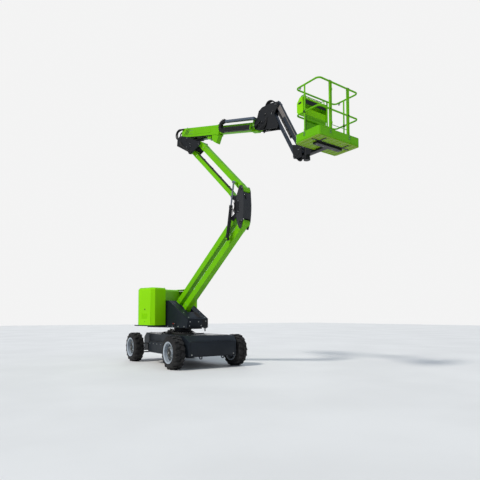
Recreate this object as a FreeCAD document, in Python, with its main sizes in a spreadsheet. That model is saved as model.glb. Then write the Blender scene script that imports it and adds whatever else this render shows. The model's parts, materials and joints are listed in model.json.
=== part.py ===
import FreeCAD, Part
import math
import os
import re
import Sketcher
from FreeCAD import Placement, Rotation, Vector

# Articulating boom lift, millimetres.
# Row frame: +X along the chassis towards the driven axle, +Y left, +Z up, origin on the ground under the slewing axis.
# Boom frame: the row frame turned about the slewing axis by SlewTurn, so that +X runs along the booms.
# Cage frame: its origin on the rotator's axis at the floor's underside, +X out of the boom side.

# Driving dimensions: alias, value
SIZES = (
    ("Wheelbase", 2690),
    ("TrackWidth", 1876),
    ("TyreDiameter", 860),
    ("TyreCarcass", 806),
    ("TyreWidth", 300),
    ("TyreShoulder", 34),
    ("TyreBead", 506),
    ("LugLong", 84),
    ("LugWide", 122),
    ("LugSkew", 18),
    ("RimFlange", 560),
    ("RimFlangeThick", 14),
    ("RimWall", 12),
    ("RimDish", 84),
    ("RimDisc", 14),
    ("HubDiameter", 220),
    ("HubCap", 46),
    ("SeatClearance", 0.3),
    ("PinClearance", 0.4),
    ("SideClearance", 5),
    ("ChassisLong", 3500),
    ("ChassisWide", 1520),
    ("ChassisLow", 320),
    ("DeckHigh", 850),
    ("NoseHigh", 705),
    ("NoseWide", 1416),
    ("NoseRun", 190),
    ("BevelRun", 190),
    ("ChassisWall", 14),
    ("RearWide", 960),
    ("RearStart", -640),
    ("SillStart", -610),
    ("SillEnd", 850),
    ("SillOut", 40),
    ("SillHigh", 630),
    ("TieLugIn", 60),
    ("TieLugY", 330),
    ("TieLugBore", 44),
    ("TieLugThick", 20),
    ("TieLugDrop", 26),
    ("AxleTube", 170),
    ("SteerTube", 130),
    ("KingpinIn", 426),
    ("KingpinDiameter", 60),
    ("YokeThick", 22),
    ("YokeGap", 180),
    ("YokeWide", 130),
    ("SteerArm", 200),
    ("SteerArmThick", 24),
    ("TieRodDiameter", 36),
    ("TieRodHigh", 262),
    ("TieEnd", 50),
    ("RingDiameter", 560),
    ("RingHigh", 90),
    ("RingHub", 500),
    ("TurretLow", 1030),
    ("TurretPlate", 28),
    ("TurretWide", 800),
    ("TurretWall", 18),
    ("TurretFront", 635),
    ("TurretNose", 1280),
    ("TurretTopX", -175),
    ("TurretTop", 1810),
    ("TurretRear", -620),
    ("CoverTopX", 330),
    ("TrayWide", 1740),
    ("TrayFront", -300),
    ("TrayRear", -1150),
    ("TailX", -1190),
    ("HoodHigh", 2180),
    ("HoodWide", 1800),
    ("HoodInner", 860),
    ("HoodFront", -270),
    ("HoodWall", 18),
    ("HoodRound", 70),
    ("HoodCorner", 90),
    ("WeightWide", 780),
    ("WeightHigh", 2165),
    ("BlockHigh", 700),
    ("PostSize", 36),
    ("HingeIn", 24),
    ("HingeDrop", 14),
    ("HingePin", 16),
    ("HingeEye", 40),
    ("SlewTurn", 15),
    ("LowerRise", 44.53),
    ("LowerLong", 3184),
    ("UpperRise", 45.07),
    ("UpperLong", 2266),
    ("FrontFootX", 105),
    ("FrontFootZ", 1550),
    ("PairX", 295),
    ("PairZ", -140),
    ("KneeX", 15),
    ("KneeZ", 869),
    ("HighPairX", 310),
    ("HighPairZ", 162),
    ("ForkGap", 270),
    ("ForkPlate", 25),
    ("InnerFork", 190),
    ("KneeFront", 105),
    ("KneeSkin", 16),
    ("LinkPin", 56),
    ("RearLinkDeep", 150),
    ("RearLinkWide", 160),
    ("FrontLinkDeep", 165),
    ("FrontLinkWide", 200),
    ("TopLinkDeep", 145),
    ("TopLinkWide", 160),
    ("LowLinkDeep", 112),
    ("LowLinkWide", 124),
    ("LinkWall", 9),
    ("RiserRamSide", 220),
    ("RiserRamBack", 571),
    ("RiserRamAlong", 276),
    ("RiserRamLong", 880),
    ("RamPin", 50),
    ("RamEyePin", 40),
    ("EyeClearance", 36),
    ("LuffX", 20),
    ("LuffZ", 6600),
    ("RamFootX", 260),
    ("RamFootZ", -112),
    ("RamEyeX", 1085),
    ("RamEyeZ", -238),
    ("BoomDrop", -11.4),
    ("BoomRearX", -50),
    ("BoomAxisZ", 175),
    ("BoomLong", 1570),
    ("BoomDeep", 260),
    ("BoomWide", 170),
    ("BoomWall", 8),
    ("InnerDeep", 200),
    ("InnerWide", 136),
    ("InnerLong", 1900),
    ("InnerReach", 1460),
    ("InnerWall", 7),
    ("ChainSide", 105),
    ("ChainWide", 60),
    ("ChainBend", 165),
    ("ChainThick", 75),
    ("ChainX", 1725),
    ("ChainZ", 235),
    ("NoseStart", 2700),
    ("NoseLong", 205),
    ("CoverThick", 65),
    ("HeadX", 3500),
    ("HeadZ", 6575),
    ("HeadPairX", -145),
    ("HeadPairZ", -159),
    ("HeadFork", 110),
    ("HeadPlate", 16),
    ("JibLong", 1449),
    ("JibDrop", -62.7),
    ("JibDeep", 116),
    ("JibWide", 96),
    ("JibLowDeep", 66),
    ("JibLowWide", 80),
    ("JibWall", 7),
    ("JibPin", 36),
    ("JibTail", 70),
    ("TowerHigh", 170),
    ("RotatorOut", 135.4),
    ("RotatorDiameter", 150),
    ("RotatorDrop", 287.4),
    ("CageDrop", 137.4),
    ("CageTurn", -12.4),
    ("CageInset", 295),
    ("CageDeep", 725),
    ("CageLong", 1300),
    ("CageHigh", 1250),
    ("ToeHigh", 190),
    ("FloorThick", 34),
    ("ToeWall", 12),
    ("RailTube", 38),
    ("MidRail", 630),
    ("RailBend", 90),
    ("ToeBend", 60),
    ("GateStart", -280),
    ("GateEnd", 280),
    ("ConsoleLong", 800),
    ("ConsoleHigh", 400),
    ("ConsoleDeep", 196),
    ("ConsoleLow", 760),
)

doc = FreeCAD.newDocument("BoomLift")
sheet = doc.addObject("Spreadsheet::Sheet", "Sizes")
for row, (alias, number) in enumerate(SIZES, 1):
    sheet.set(f"A{row}", alias)
    sheet.set(f"B{row}", str(number))
    sheet.setAlias(f"B{row}", alias)
probe = doc.addObject("App::FeaturePython", "Probe")
probe.addProperty("App::PropertyFloat", "Value")
doc.recompute()

FRONT = Vector(1, 0, 0)
LEFT = Vector(0, 1, 0)
UP = Vector(0, 0, 1)


def scoped(text):
    """An expression with each alias read from the sheet."""
    return re.sub(r"\b([A-Z][A-Za-z]+)\b", r"Sizes.\1", str(text))


def value(text):
    """The number that an expression of the sheet's sizes gives."""
    probe.setExpression("Value", scoped(text))
    probe.recompute()
    return probe.Value


def bind(item, **texts):
    for name, text in texts.items():
        item.setExpression(name, scoped(text))
    return item


def move(item, at):
    """Binds an object's position to three expressions."""
    for axis, text in zip("xyz", at):
        item.setExpression(f"Placement.Base.{axis}", scoped(text))
    return item


def at(x, y, z, turn=0.0, axis=UP):
    return Placement(Vector(x, y, z), Rotation(axis, turn))


def box(name, size, low):
    """A block by its three sizes and its lowest corner."""
    item = doc.addObject("Part::Box", name)
    bind(item, Length=size[0], Width=size[1], Height=size[2])
    return move(item, low)


def centred(name, size, middle):
    """A block by its three sizes and its middle."""
    low = [f"({m}) - ({s}) / 2" for m, s in zip(middle, size)]
    return box(name, size, low)


def drum(name, diameter, long, start, along=UP):
    """A cylinder that starts at a point and runs along an axis."""
    item = doc.addObject("Part::Cylinder", name)
    item.Placement = Placement(Vector(), Rotation(UP, along))
    bind(item, Radius=f"({diameter}) / 2", Height=long)
    return move(item, start)


def across(name, diameter, wide, x, z, middle="0"):
    """A cylinder across the booms, centred on its middle."""
    return drum(name, diameter, wide, (x, f"({middle}) - ({wide}) / 2", z), LEFT)


def outline(name, points):
    """A closed sketch in its own plane, each corner bound to a pair of expressions."""
    sketch = doc.addObject("Sketcher::SketchObject", name)
    spots = [Vector(value(a), value(b), 0) for a, b in points]
    for here, there in zip(spots, spots[1:] + spots[:1]):
        sketch.addGeometry(Part.LineSegment(here, there), False)
    for index in range(len(spots)):
        after = (index + 1) % len(spots)
        sketch.addConstraint(Sketcher.Constraint("Coincident", index, 2, after, 1))
    for index, (spot, pair) in enumerate(zip(spots, points)):
        for kind, size, text in (("DistanceX", spot.x, pair[0]), ("DistanceY", spot.y, pair[1])):
            bound = sketch.addConstraint(Sketcher.Constraint(kind, -1, 1, index, 1, size))
            sketch.setExpression(f"Constraints[{bound}]", scoped(text))
    return sketch


def extruded(name, sketch, along, long, centred_on):
    item = doc.addObject("Part::Extrusion", name)
    item.Base = sketch
    item.DirMode = "Custom"
    item.Dir = along
    item.Solid = True
    item.Symmetric = True
    bind(item, LengthFwd=long)
    return move(item, centred_on)


def plate(name, points, wide, middle="0"):
    """A side-view outline (x, z) given a width across the booms."""
    sketch = outline(name + "_outline", points)
    sketch.Placement = Placement(Vector(), Rotation(FRONT, 90))
    return extruded(name, sketch, LEFT, wide, ("0", middle, "0"))


def slab(name, points, thick, low):
    """A plan outline (x, y) given a height."""
    sketch = outline(name + "_outline", points)
    return extruded(name, sketch, UP, thick, ("0", "0", f"({low}) + ({thick}) / 2"))


def turned(name, points):
    """An outline (radius, y) turned about the Y axis."""
    sketch = outline(name + "_outline", points)
    item = doc.addObject("Part::Revolution", name)
    item.Source = sketch
    item.Axis = LEFT
    item.Angle = 360
    item.Solid = True
    return item


def joined(name, *pieces):
    item = doc.addObject("Part::MultiFuse", name)
    item.Shapes = list(pieces)
    item.Refine = True
    return item


def shared(name, one, two):
    item = doc.addObject("Part::Common", name)
    item.Base = one
    item.Tool = two
    return item


def less(name, base, *tools):
    item = doc.addObject("Part::Cut", name)
    item.Base = base
    item.Tool = tools[0] if len(tools) == 1 else joined(name + "_tools", *tools)
    item.Refine = True
    return item


def rounded(name, base, radius, wanted):
    """Rounds the edges that wanted picks by their middle point and direction."""
    doc.recompute()
    item = doc.addObject("Part::Fillet", name)
    item.Base = base
    picked = []
    for index, edge in enumerate(base.Shape.Edges, 1):
        middle = edge.valueAt((edge.FirstParameter + edge.LastParameter) / 2)
        first, last = edge.valueAt(edge.FirstParameter), edge.valueAt(edge.LastParameter)
        if wanted(middle, last - first):
            picked.append((index, value(radius), value(radius)))
    item.Edges = picked
    return item


PARTS = []


def keep(label, item, place=None):
    """Names a finished sub-part and puts it in its place in the row frame."""
    item.Label = label
    doc.recompute()
    if place is not None:
        for axis in "xyz":
            item.setExpression(f"Placement.Base.{axis}", None)
        item.Placement = place.multiply(item.Placement)
    PARTS.append((label, item))
    return item


def mirror_pairs(points):
    """A plan outline from its points on one side, mirrored about the X axis."""
    return points + [(x, f"-({y})") for x, y in reversed(points)]


# Places shared by several sub-parts
SLEW = at(0, 0, 0, value("SlewTurn"))
FRONT_FOOT = Vector(value("FrontFootX"), 0, value("FrontFootZ"))
PAIR = Vector(value("PairX"), 0, value("PairZ"))
REAR_FOOT = FRONT_FOOT - PAIR


def polar(long, rise):
    return Vector(long * math.cos(math.radians(rise)), 0, long * math.sin(math.radians(rise)))


LOWER = polar(value("LowerLong"), value("LowerRise"))
KNEE_FRONT = FRONT_FOOT + LOWER
KNEE_REAR = REAR_FOOT + LOWER
HIGH_PAIR = Vector(value("HighPairX"), 0, value("HighPairZ"))
KNEE_TOP = KNEE_FRONT + Vector(value("KneeX"), 0, value("KneeZ"))
KNEE_LOW = KNEE_TOP - HIGH_PAIR
UPPER = polar(value("UpperLong"), 180 - value("UpperRise"))
HEAD_TOP = KNEE_TOP + UPPER
HEAD_LOW = KNEE_LOW + UPPER
LUFF = Vector(value("LuffX"), 0, value("LuffZ"))


def along_boom(start, rise):
    """A placement with its X axis along a link of the boom plane."""
    return SLEW.multiply(Placement(start, Rotation(LEFT, -rise)))


# Wheels
def tyre_blank(name):
    half = "TyreWidth / 2"
    return turned(name, [
        ("TyreBead / 2 + SeatClearance", f"-({half}) + 16"),
        ("RimFlange / 2 + 8", f"-({half}) + 4"),
        ("TyreCarcass / 2 - 70", f"-({half})"),
        ("TyreCarcass / 2 - TyreShoulder", f"-({half}) + 4"),
        ("TyreCarcass / 2", f"-({half}) + 26"),
        ("TyreCarcass / 2", f"{half} - 26"),
        ("TyreCarcass / 2 - TyreShoulder", f"{half} - 4"),
        ("TyreCarcass / 2 - 70", half),
        ("RimFlange / 2 + 8", f"{half} - 4"),
        ("TyreBead / 2 + SeatClearance", f"{half} - 16"),
    ])


LUGS_AROUND = 17


def lug(name, side, turn):
    """One tread block: skewed, from near the middle line out over the shoulder."""
    sketch = outline(name + "_outline", [
        ("-LugWide / 2", "TyreCarcass / 2 - 12"),
        ("LugWide / 2", "TyreCarcass / 2 - 12"),
        ("LugWide / 2", "TyreCarcass / 2 + 2"),
        ("LugWide / 2 - 18", "TyreDiameter / 2"),
        ("-LugWide / 2", "TyreDiameter / 2"),
    ])
    sketch.Placement = Placement(Vector(), Rotation(UP, 90 * side).multiply(Rotation(FRONT, 90)))
    item = extruded(name, sketch, FRONT, "LugLong", ("0", f"{side} * (TyreWidth / 2 - LugWide / 2 - 14)", "0"))
    skew = Placement(Vector(), Rotation(UP, side * value("LugSkew")))
    item.Placement = at(0, 0, 0, turn, LEFT).multiply(skew).multiply(item.Placement)
    return item


def tyre(name):
    step = 360.0 / LUGS_AROUND
    lugs = []
    for index in range(LUGS_AROUND):
        lugs.append(lug(f"{name}_lug_a{index}", 1, index * step))
        lugs.append(lug(f"{name}_lug_b{index}", -1, (index + 0.5) * step))
    blank = tyre_blank(name + "_blank")
    blank.Placement = at(0, 0, 0, 4, LEFT)
    return joined(name + "_all", blank, *lugs)


def rim(name):
    half = "TyreWidth / 2"
    disc = f"{half} - RimDish"
    profile = [
        ("HubDiameter / 2 - 60", f"{disc} - RimDisc"),
        ("TyreBead / 2 - RimWall", f"{disc} - RimDisc"),
        ("TyreBead / 2 - RimWall", f"-({half}) + 6"),
        ("RimFlange / 2", f"-({half}) + 6 - RimFlangeThick"),
        ("RimFlange / 2", f"-({half}) + 4"),
        ("TyreBead / 2", f"-({half}) + 16"),
        ("TyreBead / 2", f"{half} - 16"),
        ("RimFlange / 2", f"{half} - 4"),
        ("RimFlange / 2", f"{half} - 6 + RimFlangeThick"),
        ("TyreBead / 2 - RimWall", f"{half} - 6"),
        ("TyreBead / 2 - RimWall", disc),
        ("HubDiameter / 2", disc),
        ("HubDiameter / 2 - 20", f"{disc} + HubCap"),
        ("0", f"{disc} + HubCap"),
        ("0", f"{disc} - RimDisc"),
    ]
    return turned(name, profile)


# name, end of the chassis, side, whether it steers
WHEELS = (
    ("front_right", 1, -1),
    ("front_left", 1, 1),
    ("rear_right", -1, -1),
    ("rear_left", -1, 1),
)
for corner, end, side in WHEELS:
    place = at(end * value("Wheelbase") / 2, side * value("TrackWidth") / 2, value("TyreDiameter") / 2,
               0 if side > 0 else 180)
    keep(f"tyre_{corner}", tyre(f"tyre_{corner}"), place)
    keep(f"rim_{corner}", rim(f"rim_{corner}"), place)

# Chassis
shell = shared(
    "chassis_form",
    plate("chassis_side", [
        ("-ChassisLong / 2", "ChassisLow"),
        ("ChassisLong / 2", "ChassisLow"),
        ("ChassisLong / 2", "NoseHigh"),
        ("ChassisLong / 2 - BevelRun", "DeckHigh"),
        ("BevelRun - ChassisLong / 2", "DeckHigh"),
        ("-ChassisLong / 2", "NoseHigh"),
    ], "ChassisWide"),
    slab("chassis_plan", mirror_pairs([
        ("ChassisLong / 2", "-NoseWide / 2"),
        ("ChassisLong / 2 - NoseRun", "-ChassisWide / 2"),
        ("RearStart", "-ChassisWide / 2"),
        ("RearStart - 120", "-RearWide / 2"),
        ("-ChassisLong / 2", "-RearWide / 2"),
    ]), "DeckHigh", "0"),
)
belly_high = "DeckHigh - ChassisLow - ChassisWall + 1"
belly_front = box(
    "chassis_belly_front",
    ("ChassisLong / 2 - BevelRun - RearStart - ChassisWall * 2", "ChassisWide - ChassisWall * 2", belly_high),
    ("RearStart + ChassisWall", "-ChassisWide / 2 + ChassisWall", "ChassisLow - 1"))
belly_rear = box(
    "chassis_belly_rear",
    ("ChassisLong / 2 + RearStart - BevelRun", "RearWide - ChassisWall * 2", belly_high),
    ("-ChassisLong / 2 + BevelRun", "-RearWide / 2 + ChassisWall", "ChassisLow - 1"))
axle_hole = across("chassis_axle_hole", "AxleTube + SeatClearance * 2", "ChassisWide + 10",
                   "Wheelbase / 2", "TyreDiameter / 2")
steer_hole = across("chassis_steer_hole", "SteerTube + SeatClearance * 2", "ChassisWide + 10",
                    "-Wheelbase / 2", "TyreDiameter / 2")
sills = [
    box(f"chassis_sill_{name}", ("SillEnd - SillStart", "SillOut + 5", "SillHigh - ChassisLow"),
        ("SillStart", low, "ChassisLow"))
    for name, low in (("right", "-ChassisWide / 2 - SillOut"), ("left", "ChassisWide / 2 - 5"))
]
tie_lugs = []
tie_bores = []
for end, x in (("front", "(ChassisLong / 2 - TieLugIn)"), ("rear", "(TieLugIn - ChassisLong / 2)")):
    for side, word in ((-1, "right"), (1, "left")):
        y, z = f"{side} * TieLugY", "ChassisLow - TieLugDrop"
        start = f"{x} - TieLugThick / 2"
        tie_lugs.append(box(f"tie_lug_{end}_{word}", ("TieLugThick", "TieLugBore + 46", "TieLugDrop + 8"),
                            (start, f"{y} - TieLugBore / 2 - 23", z)))
        tie_lugs.append(drum(f"tie_eye_{end}_{word}", "TieLugBore + 46", "TieLugThick", (start, y, z), FRONT))
        tie_bores.append(drum(f"tie_bore_{end}_{word}", "TieLugBore", "TieLugThick + 10",
                              (f"{start} - 5", y, z), FRONT))
keep("chassis_frame", less("chassis", joined("chassis_solid", shell, *sills, *tie_lugs),
                           belly_front, belly_rear, axle_hole, steer_hole, *tie_bores))

# Axles
hub_inner = "ChassisWide / 2 + 12"
hub_long = f"TrackWidth / 2 + TyreWidth / 2 - RimDish - RimDisc - SeatClearance - ({hub_inner})"
drive = [across("drive_tube", "AxleTube", "ChassisWide + 30", "Wheelbase / 2", "TyreDiameter / 2")]
for side in (-1, 1):
    middle = f"{side} * ({hub_inner} + ({hub_long}) / 2)"
    drive.append(across(f"drive_hub_{'right' if side < 0 else 'left'}", "HubDiameter", hub_long,
                        "Wheelbase / 2", "TyreDiameter / 2", middle))
keep("drive_axle", joined("drive", *drive))

yoke_reach = "(TrackWidth - KingpinIn - RearWide) / 2 + YokeWide / 2 - 54"
steer = [across("steer_tube", "SteerTube", "RearWide + 100", "-Wheelbase / 2", "TyreDiameter / 2")]
for side, word in ((-1, "right"), (1, "left")):
    inner = f"{side} * (RearWide / 2 + 40 + ({yoke_reach}) / 2)"
    for level, low in (("low", "TyreDiameter / 2 - YokeGap / 2 - YokeThick"), ("high", "TyreDiameter / 2 + YokeGap / 2")):
        steer.append(centred(f"yoke_{level}_{word}", (f"YokeWide", yoke_reach, "YokeThick"),
                             ("-Wheelbase / 2", inner, f"{low} + YokeThick / 2")))
    steer.append(centred(f"yoke_back_{word}", ("YokeWide", "26", "YokeGap + 2 * YokeThick"),
                         ("-Wheelbase / 2", f"{side} * (RearWide / 2 + 53)", "TyreDiameter / 2")))
    steer.append(drum(f"kingpin_{word}", "KingpinDiameter", "YokeGap + 2 * YokeThick",
                      ("-Wheelbase / 2", f"{side} * (TrackWidth - KingpinIn) / 2",
                       "TyreDiameter / 2 - YokeGap / 2 - YokeThick")))
keep("steer_axle", joined("steer", *steer))

for side, word in ((-1, "right"), (1, "left")):
    sleeve = drum(f"sleeve_{word}", "KingpinDiameter + 56", "YokeGap - 2 * SeatClearance",
                  ("-Wheelbase / 2", f"{side} * (TrackWidth - KingpinIn) / 2", "TyreDiameter / 2 - YokeGap / 2 + SeatClearance"))
    spindle = across(f"spindle_{word}", "HubDiameter - 60", "110", "-Wheelbase / 2", "TyreDiameter / 2",
                     f"{side} * ((TrackWidth - KingpinIn) / 2 + 60)")
    hub_start = "(TrackWidth - KingpinIn) / 2 + YokeWide / 2 + 18"
    hub_run = f"TrackWidth / 2 + TyreWidth / 2 - RimDish - RimDisc - SeatClearance - ({hub_start})"
    hub = across(f"steer_hub_drum_{word}", "HubDiameter", hub_run, "-Wheelbase / 2", "TyreDiameter / 2",
                 f"{side} * ({hub_start} + ({hub_run}) / 2)")
    riser = box(f"steer_riser_{word}", ("60", "26", "TyreDiameter / 2 - TieRodHigh"),
                ("-Wheelbase / 2 - 30", f"{side} * ((TrackWidth - KingpinIn) / 2 + YokeWide / 2 + 31) - 13", "TieRodHigh + 22"))
    arm_near = "(TrackWidth - KingpinIn) / 2 - 26"
    arm = box(f"steer_arm_{word}", ("SteerArm + 60", "78", "SteerArmThick"),
              ("-Wheelbase / 2 - SteerArm - 30", arm_near if side > 0 else f"-({arm_near}) - 78", "TieRodHigh + 22"))
    arm_wide = "YokeWide / 2 + 70"
    arm_cross = box(f"steer_cross_{word}", ("60", arm_wide, "SteerArmThick"),
                    ("-Wheelbase / 2 - 30", arm_near if side > 0 else f"-({arm_near}) - ({arm_wide})",
                     "TieRodHigh + 22"))
    bore = drum(f"kingpin_bore_{word}", "KingpinDiameter + 2 * PinClearance", "YokeGap + 10",
                ("-Wheelbase / 2", f"{side} * (TrackWidth - KingpinIn) / 2", "TyreDiameter / 2 - YokeGap / 2 - 5"))
    keep(f"steer_hub_{word}", less(f"steer_hub_cut_{word}",
                                   joined(f"steer_hub_all_{word}", sleeve, spindle, hub, riser, arm, arm_cross), bore))

tie = [across("tie_bar", "TieRodDiameter", "TrackWidth - KingpinIn", "-Wheelbase / 2 - SteerArm", "TieRodHigh - 12")]
for side, word in ((-1, "right"), (1, "left")):
    tie.append(drum(f"tie_end_{word}", "TieEnd", "34 + TieRodDiameter / 2 + 6 - SeatClearance",
                    ("-Wheelbase / 2 - SteerArm", f"{side} * (TrackWidth - KingpinIn) / 2",
                     "TieRodHigh - 12 - TieRodDiameter / 2 - 6")))
keep("tie_rod", joined("tie", *tie))

# Slewing ring and its drive
keep("slew_ring", drum("ring", "RingDiameter", "RingHigh", ("0", "0", "DeckHigh")))
keep("slew_motor", joined(
    "slew_drive",
    centred("worm_box", ("150", "110", "110"), ("-120", "-RingDiameter / 2 - 58", "DeckHigh + 55")),
    drum("worm_motor", "86", "150", ("-45", "-RingDiameter / 2 - 58", "DeckHigh + 56"), FRONT)))

# Turret
base = slab("turret_base", mirror_pairs([
    ("TurretFront", "-TurretWide / 2"),
    ("TrayRear", "-TurretWide / 2"),
]), "TurretPlate", "TurretLow")
neck = drum("turret_neck", "RingHub", "TurretLow - DeckHigh - RingHigh - SeatClearance",
            ("0", "0", "DeckHigh + RingHigh + SeatClearance"))
frame = [base, neck]
slope = "(TurretTop - TurretNose) / (TurretFront - TurretTopX)"
HOOD_POSTS = (("front", "HoodFront - 150"), ("rear", "TrayRear + 90"))
for side, word in ((-1, "right"), (1, "left")):
    frame.append(plate(f"turret_band_{word}", [
        ("CoverTopX + 10", f"TurretNose + (TurretFront - CoverTopX - 10) * {slope}"),
        ("TurretTopX", "TurretTop"),
        ("TurretRear", "TurretTop"),
        ("TurretRear", "TurretTop - TurretWall"),
        ("TurretTopX - 8", "TurretTop - TurretWall"),
        ("CoverTopX + 10", f"TurretNose + (TurretFront - CoverTopX - 10) * {slope} - TurretWall - 6"),
    ], "(TurretWide - ForkGap) / 2", f"{side} * (TurretWide + ForkGap) / 4"))
    frame.append(plate(f"turret_side_{word}", [
        ("TurretFront", "TurretLow"),
        ("TurretFront", "TurretNose"),
        ("TurretTopX", "TurretTop"),
        ("TurretRear", "TurretTop"),
        ("TurretRear", "TurretLow"),
    ], "TurretWall", f"{side} * (TurretWide - TurretWall) / 2"))
    frame.append(plate(f"turret_lug_{word}", [
        ("FrontFootX + 190", "TurretLow + TurretPlate - 1"),
        ("FrontFootX + 75", "FrontFootZ + 70"),
        ("FrontFootX - 30", "FrontFootZ + 120"),
        ("FrontFootX - PairX + 40", "FrontFootZ - PairZ + 80"),
        ("FrontFootX - PairX - 70", "FrontFootZ - PairZ + 60"),
        ("FrontFootX - PairX - 160", "TurretLow + TurretPlate - 1"),
    ], "ForkPlate", f"{side} * (ForkGap + ForkPlate) / 2"))
    frame.append(box(f"turret_tray_{word}",
                     ("TrayFront - TrayRear", "(TrayWide - TurretWide) / 2 + 4", "TurretPlate"),
                     ("TrayRear", "-TrayWide / 2" if side < 0 else "TurretWide / 2 - 4", "TurretLow + 42")))
    for spot, x in HOOD_POSTS:
        frame.append(box(f"hood_post_{spot}_{word}", ("PostSize", "16", "HoodHigh - HingeDrop + 8 - TurretLow"),
                         (x, f"{side} * (HoodInner / 2 - HingeIn - 2) - 8", "TurretLow + 4")))
        frame.append(drum(f"hood_pin_{spot}_{word}", "HingePin", "PostSize + SideClearance + HingeEye + 5",
                          (x, f"{side} * (HoodInner / 2 - HingeIn)", "HoodHigh - HingeDrop"), FRONT))
front_plate = box("turret_front", ("TurretWall", "TurretWide", "TurretNose - TurretLow"),
                  ("TurretFront - TurretWall", "-TurretWide / 2", "TurretLow"))
cover = plate("turret_cover", [
    ("TurretFront", "TurretNose - 24"),
    ("TurretFront", "TurretNose"),
    ("CoverTopX", f"TurretNose + (TurretFront - CoverTopX) * {slope}"),
    ("CoverTopX", f"TurretNose + (TurretFront - CoverTopX) * {slope} - 24"),
], "TurretWide")
back_plate = box("turret_back", ("TurretWall", "TurretWide", "TurretTop - TurretLow"),
                 ("TurretRear", "-TurretWide / 2", "TurretLow"))
pins = [
    across("turret_front_pin", "LinkPin", "ForkGap + 2 * ForkPlate", "FrontFootX", "FrontFootZ"),
    across("turret_rear_pin", "LinkPin", "ForkGap + 2 * ForkPlate", "FrontFootX - PairX", "FrontFootZ - PairZ"),
]
keep("turret_frame", joined("turret", *frame, front_plate, cover, back_plate, *pins), SLEW)

tail = [
    ("TurretRear - SeatClearance", "-WeightWide / 2"),
    ("TailX + 90", "-WeightWide / 2"),
    ("TailX", "-WeightWide / 2 + 160"),
]
weight = slab("weight", mirror_pairs(tail), "WeightHigh - TurretLow - TurretPlate - SeatClearance",
              "TurretLow + TurretPlate + SeatClearance")
keep("counterweight", rounded("weight_soft", weight, "HoodRound", lambda middle, run: (
    middle.z > value("WeightHigh") - 1)), SLEW)

for side, word, block in ((-1, "right", "battery_block"), (1, "left", "tank_block")):
    inner = f"{side} * (TurretWide / 2 + 34)"
    outer = f"{side} * (TrayWide / 2 - 40)"
    low, high = (outer, inner) if side < 0 else (inner, outer)
    keep(block, box(block, ("560", f"({high}) - ({low})", "BlockHigh"),
                    ("HoodFront - 700", low, "TurretLow + 42 + TurretPlate + SeatClearance")), SLEW)


def hood(name, side):
    """A side cowl: a shell with a curved outer tail, open below and towards the turret."""
    def plan(inset):
        front, outer = f"(HoodFront - ({inset}))", f"(HoodWide / 2 - ({inset}))"
        points = [
            (front, f"{side} * (HoodInner / 2 - ({inset}))"),
            (front, f"{side} * ({outer} - HoodCorner)"),
            (f"{front} - HoodCorner", f"{side} * {outer}"),
            ("TrayRear + 250", f"{side} * {outer}"),
            ("TrayRear + 40", f"{side} * ({outer} - 130)"),
            (f"TailX - 40 + ({inset})", f"{side} * ({outer} - 300)"),
            (f"TailX - 40 + ({inset})", f"{side} * (HoodInner / 2 - ({inset}))"),
        ]
        return points if side > 0 else list(reversed(points))
    low = "TurretLow + 42 + TurretPlate + SeatClearance"
    outer = slab(f"{name}_outer", plan("0"), f"HoodHigh - ({low})", low)
    soft = rounded(f"{name}_soft", outer, "HoodRound", lambda middle, run: (
        middle.z > value("HoodHigh") - 1 and abs(middle.y) > value("HoodInner") / 2 + 1))
    hollow = slab(f"{name}_hollow", plan("HoodWall"), f"HoodHigh - ({low}) - HoodWall + 1", f"{low} - 1")
    eyes, bores = [], []
    for spot, x in HOOD_POSTS:
        start, y = f"{x} + PostSize + SideClearance", f"{side} * (HoodInner / 2 - HingeIn)"
        eyes.append(drum(f"{name}_eye_{spot}", "HingePin + 16", "HingeEye", (start, y, "HoodHigh - HingeDrop"), FRONT))
        eyes.append(box(f"{name}_strap_{spot}", ("HingeEye", "HingeIn + 6", "HingePin"),
                        (start, y if side > 0 else f"{y} - HingeIn - 6", "HoodHigh - HingeDrop - 4")))
        bores.append(drum(f"{name}_bore_{spot}", "HingePin + 2 * PinClearance", "HingeEye + 4",
                          (f"{start} - 2", y, "HoodHigh - HingeDrop"), FRONT))
    return less(name, joined(f"{name}_all", less(f"{name}_shell", soft, hollow), *eyes), *bores)


for side, word in ((-1, "right"), (1, "left")):
    keep(f"hood_{word}", hood(f"hood_{word}", side), SLEW)


# Riser links
def link(name, long, deep, wide, boss, pin, near_wide, far_wide, extra=()):
    """A hollow box link along X, with a bored boss across each end."""
    body = box(f"{name}_tube", (long, wide, deep), ("0", f"-({wide}) / 2", f"-({deep}) / 2"))
    ends = (("near", "0", near_wide), ("far", long, far_wide))
    bosses = [across(f"{name}_boss_{end}", boss, boss_wide, x, "0") for end, x, boss_wide in ends]
    hollow = box(f"{name}_hollow",
                 (f"{long} - {boss}", f"{wide} - 2 * LinkWall", f"{deep} - 2 * LinkWall"),
                 (f"{boss} / 2", f"-({wide}) / 2 + LinkWall", f"-({deep}) / 2 + LinkWall"))
    bores = [across(f"{name}_bore_{end}", f"{pin} + 2 * PinClearance", f"{boss_wide} + 10", x, "0")
             for end, x, boss_wide in ends]
    return less(name, joined(f"{name}_solid", body, *bosses, *extra), hollow, *bores)


WIDE_EYE = "ForkGap - 2 * SideClearance"
NARROW_EYE = "InnerFork - 2 * SideClearance"


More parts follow.
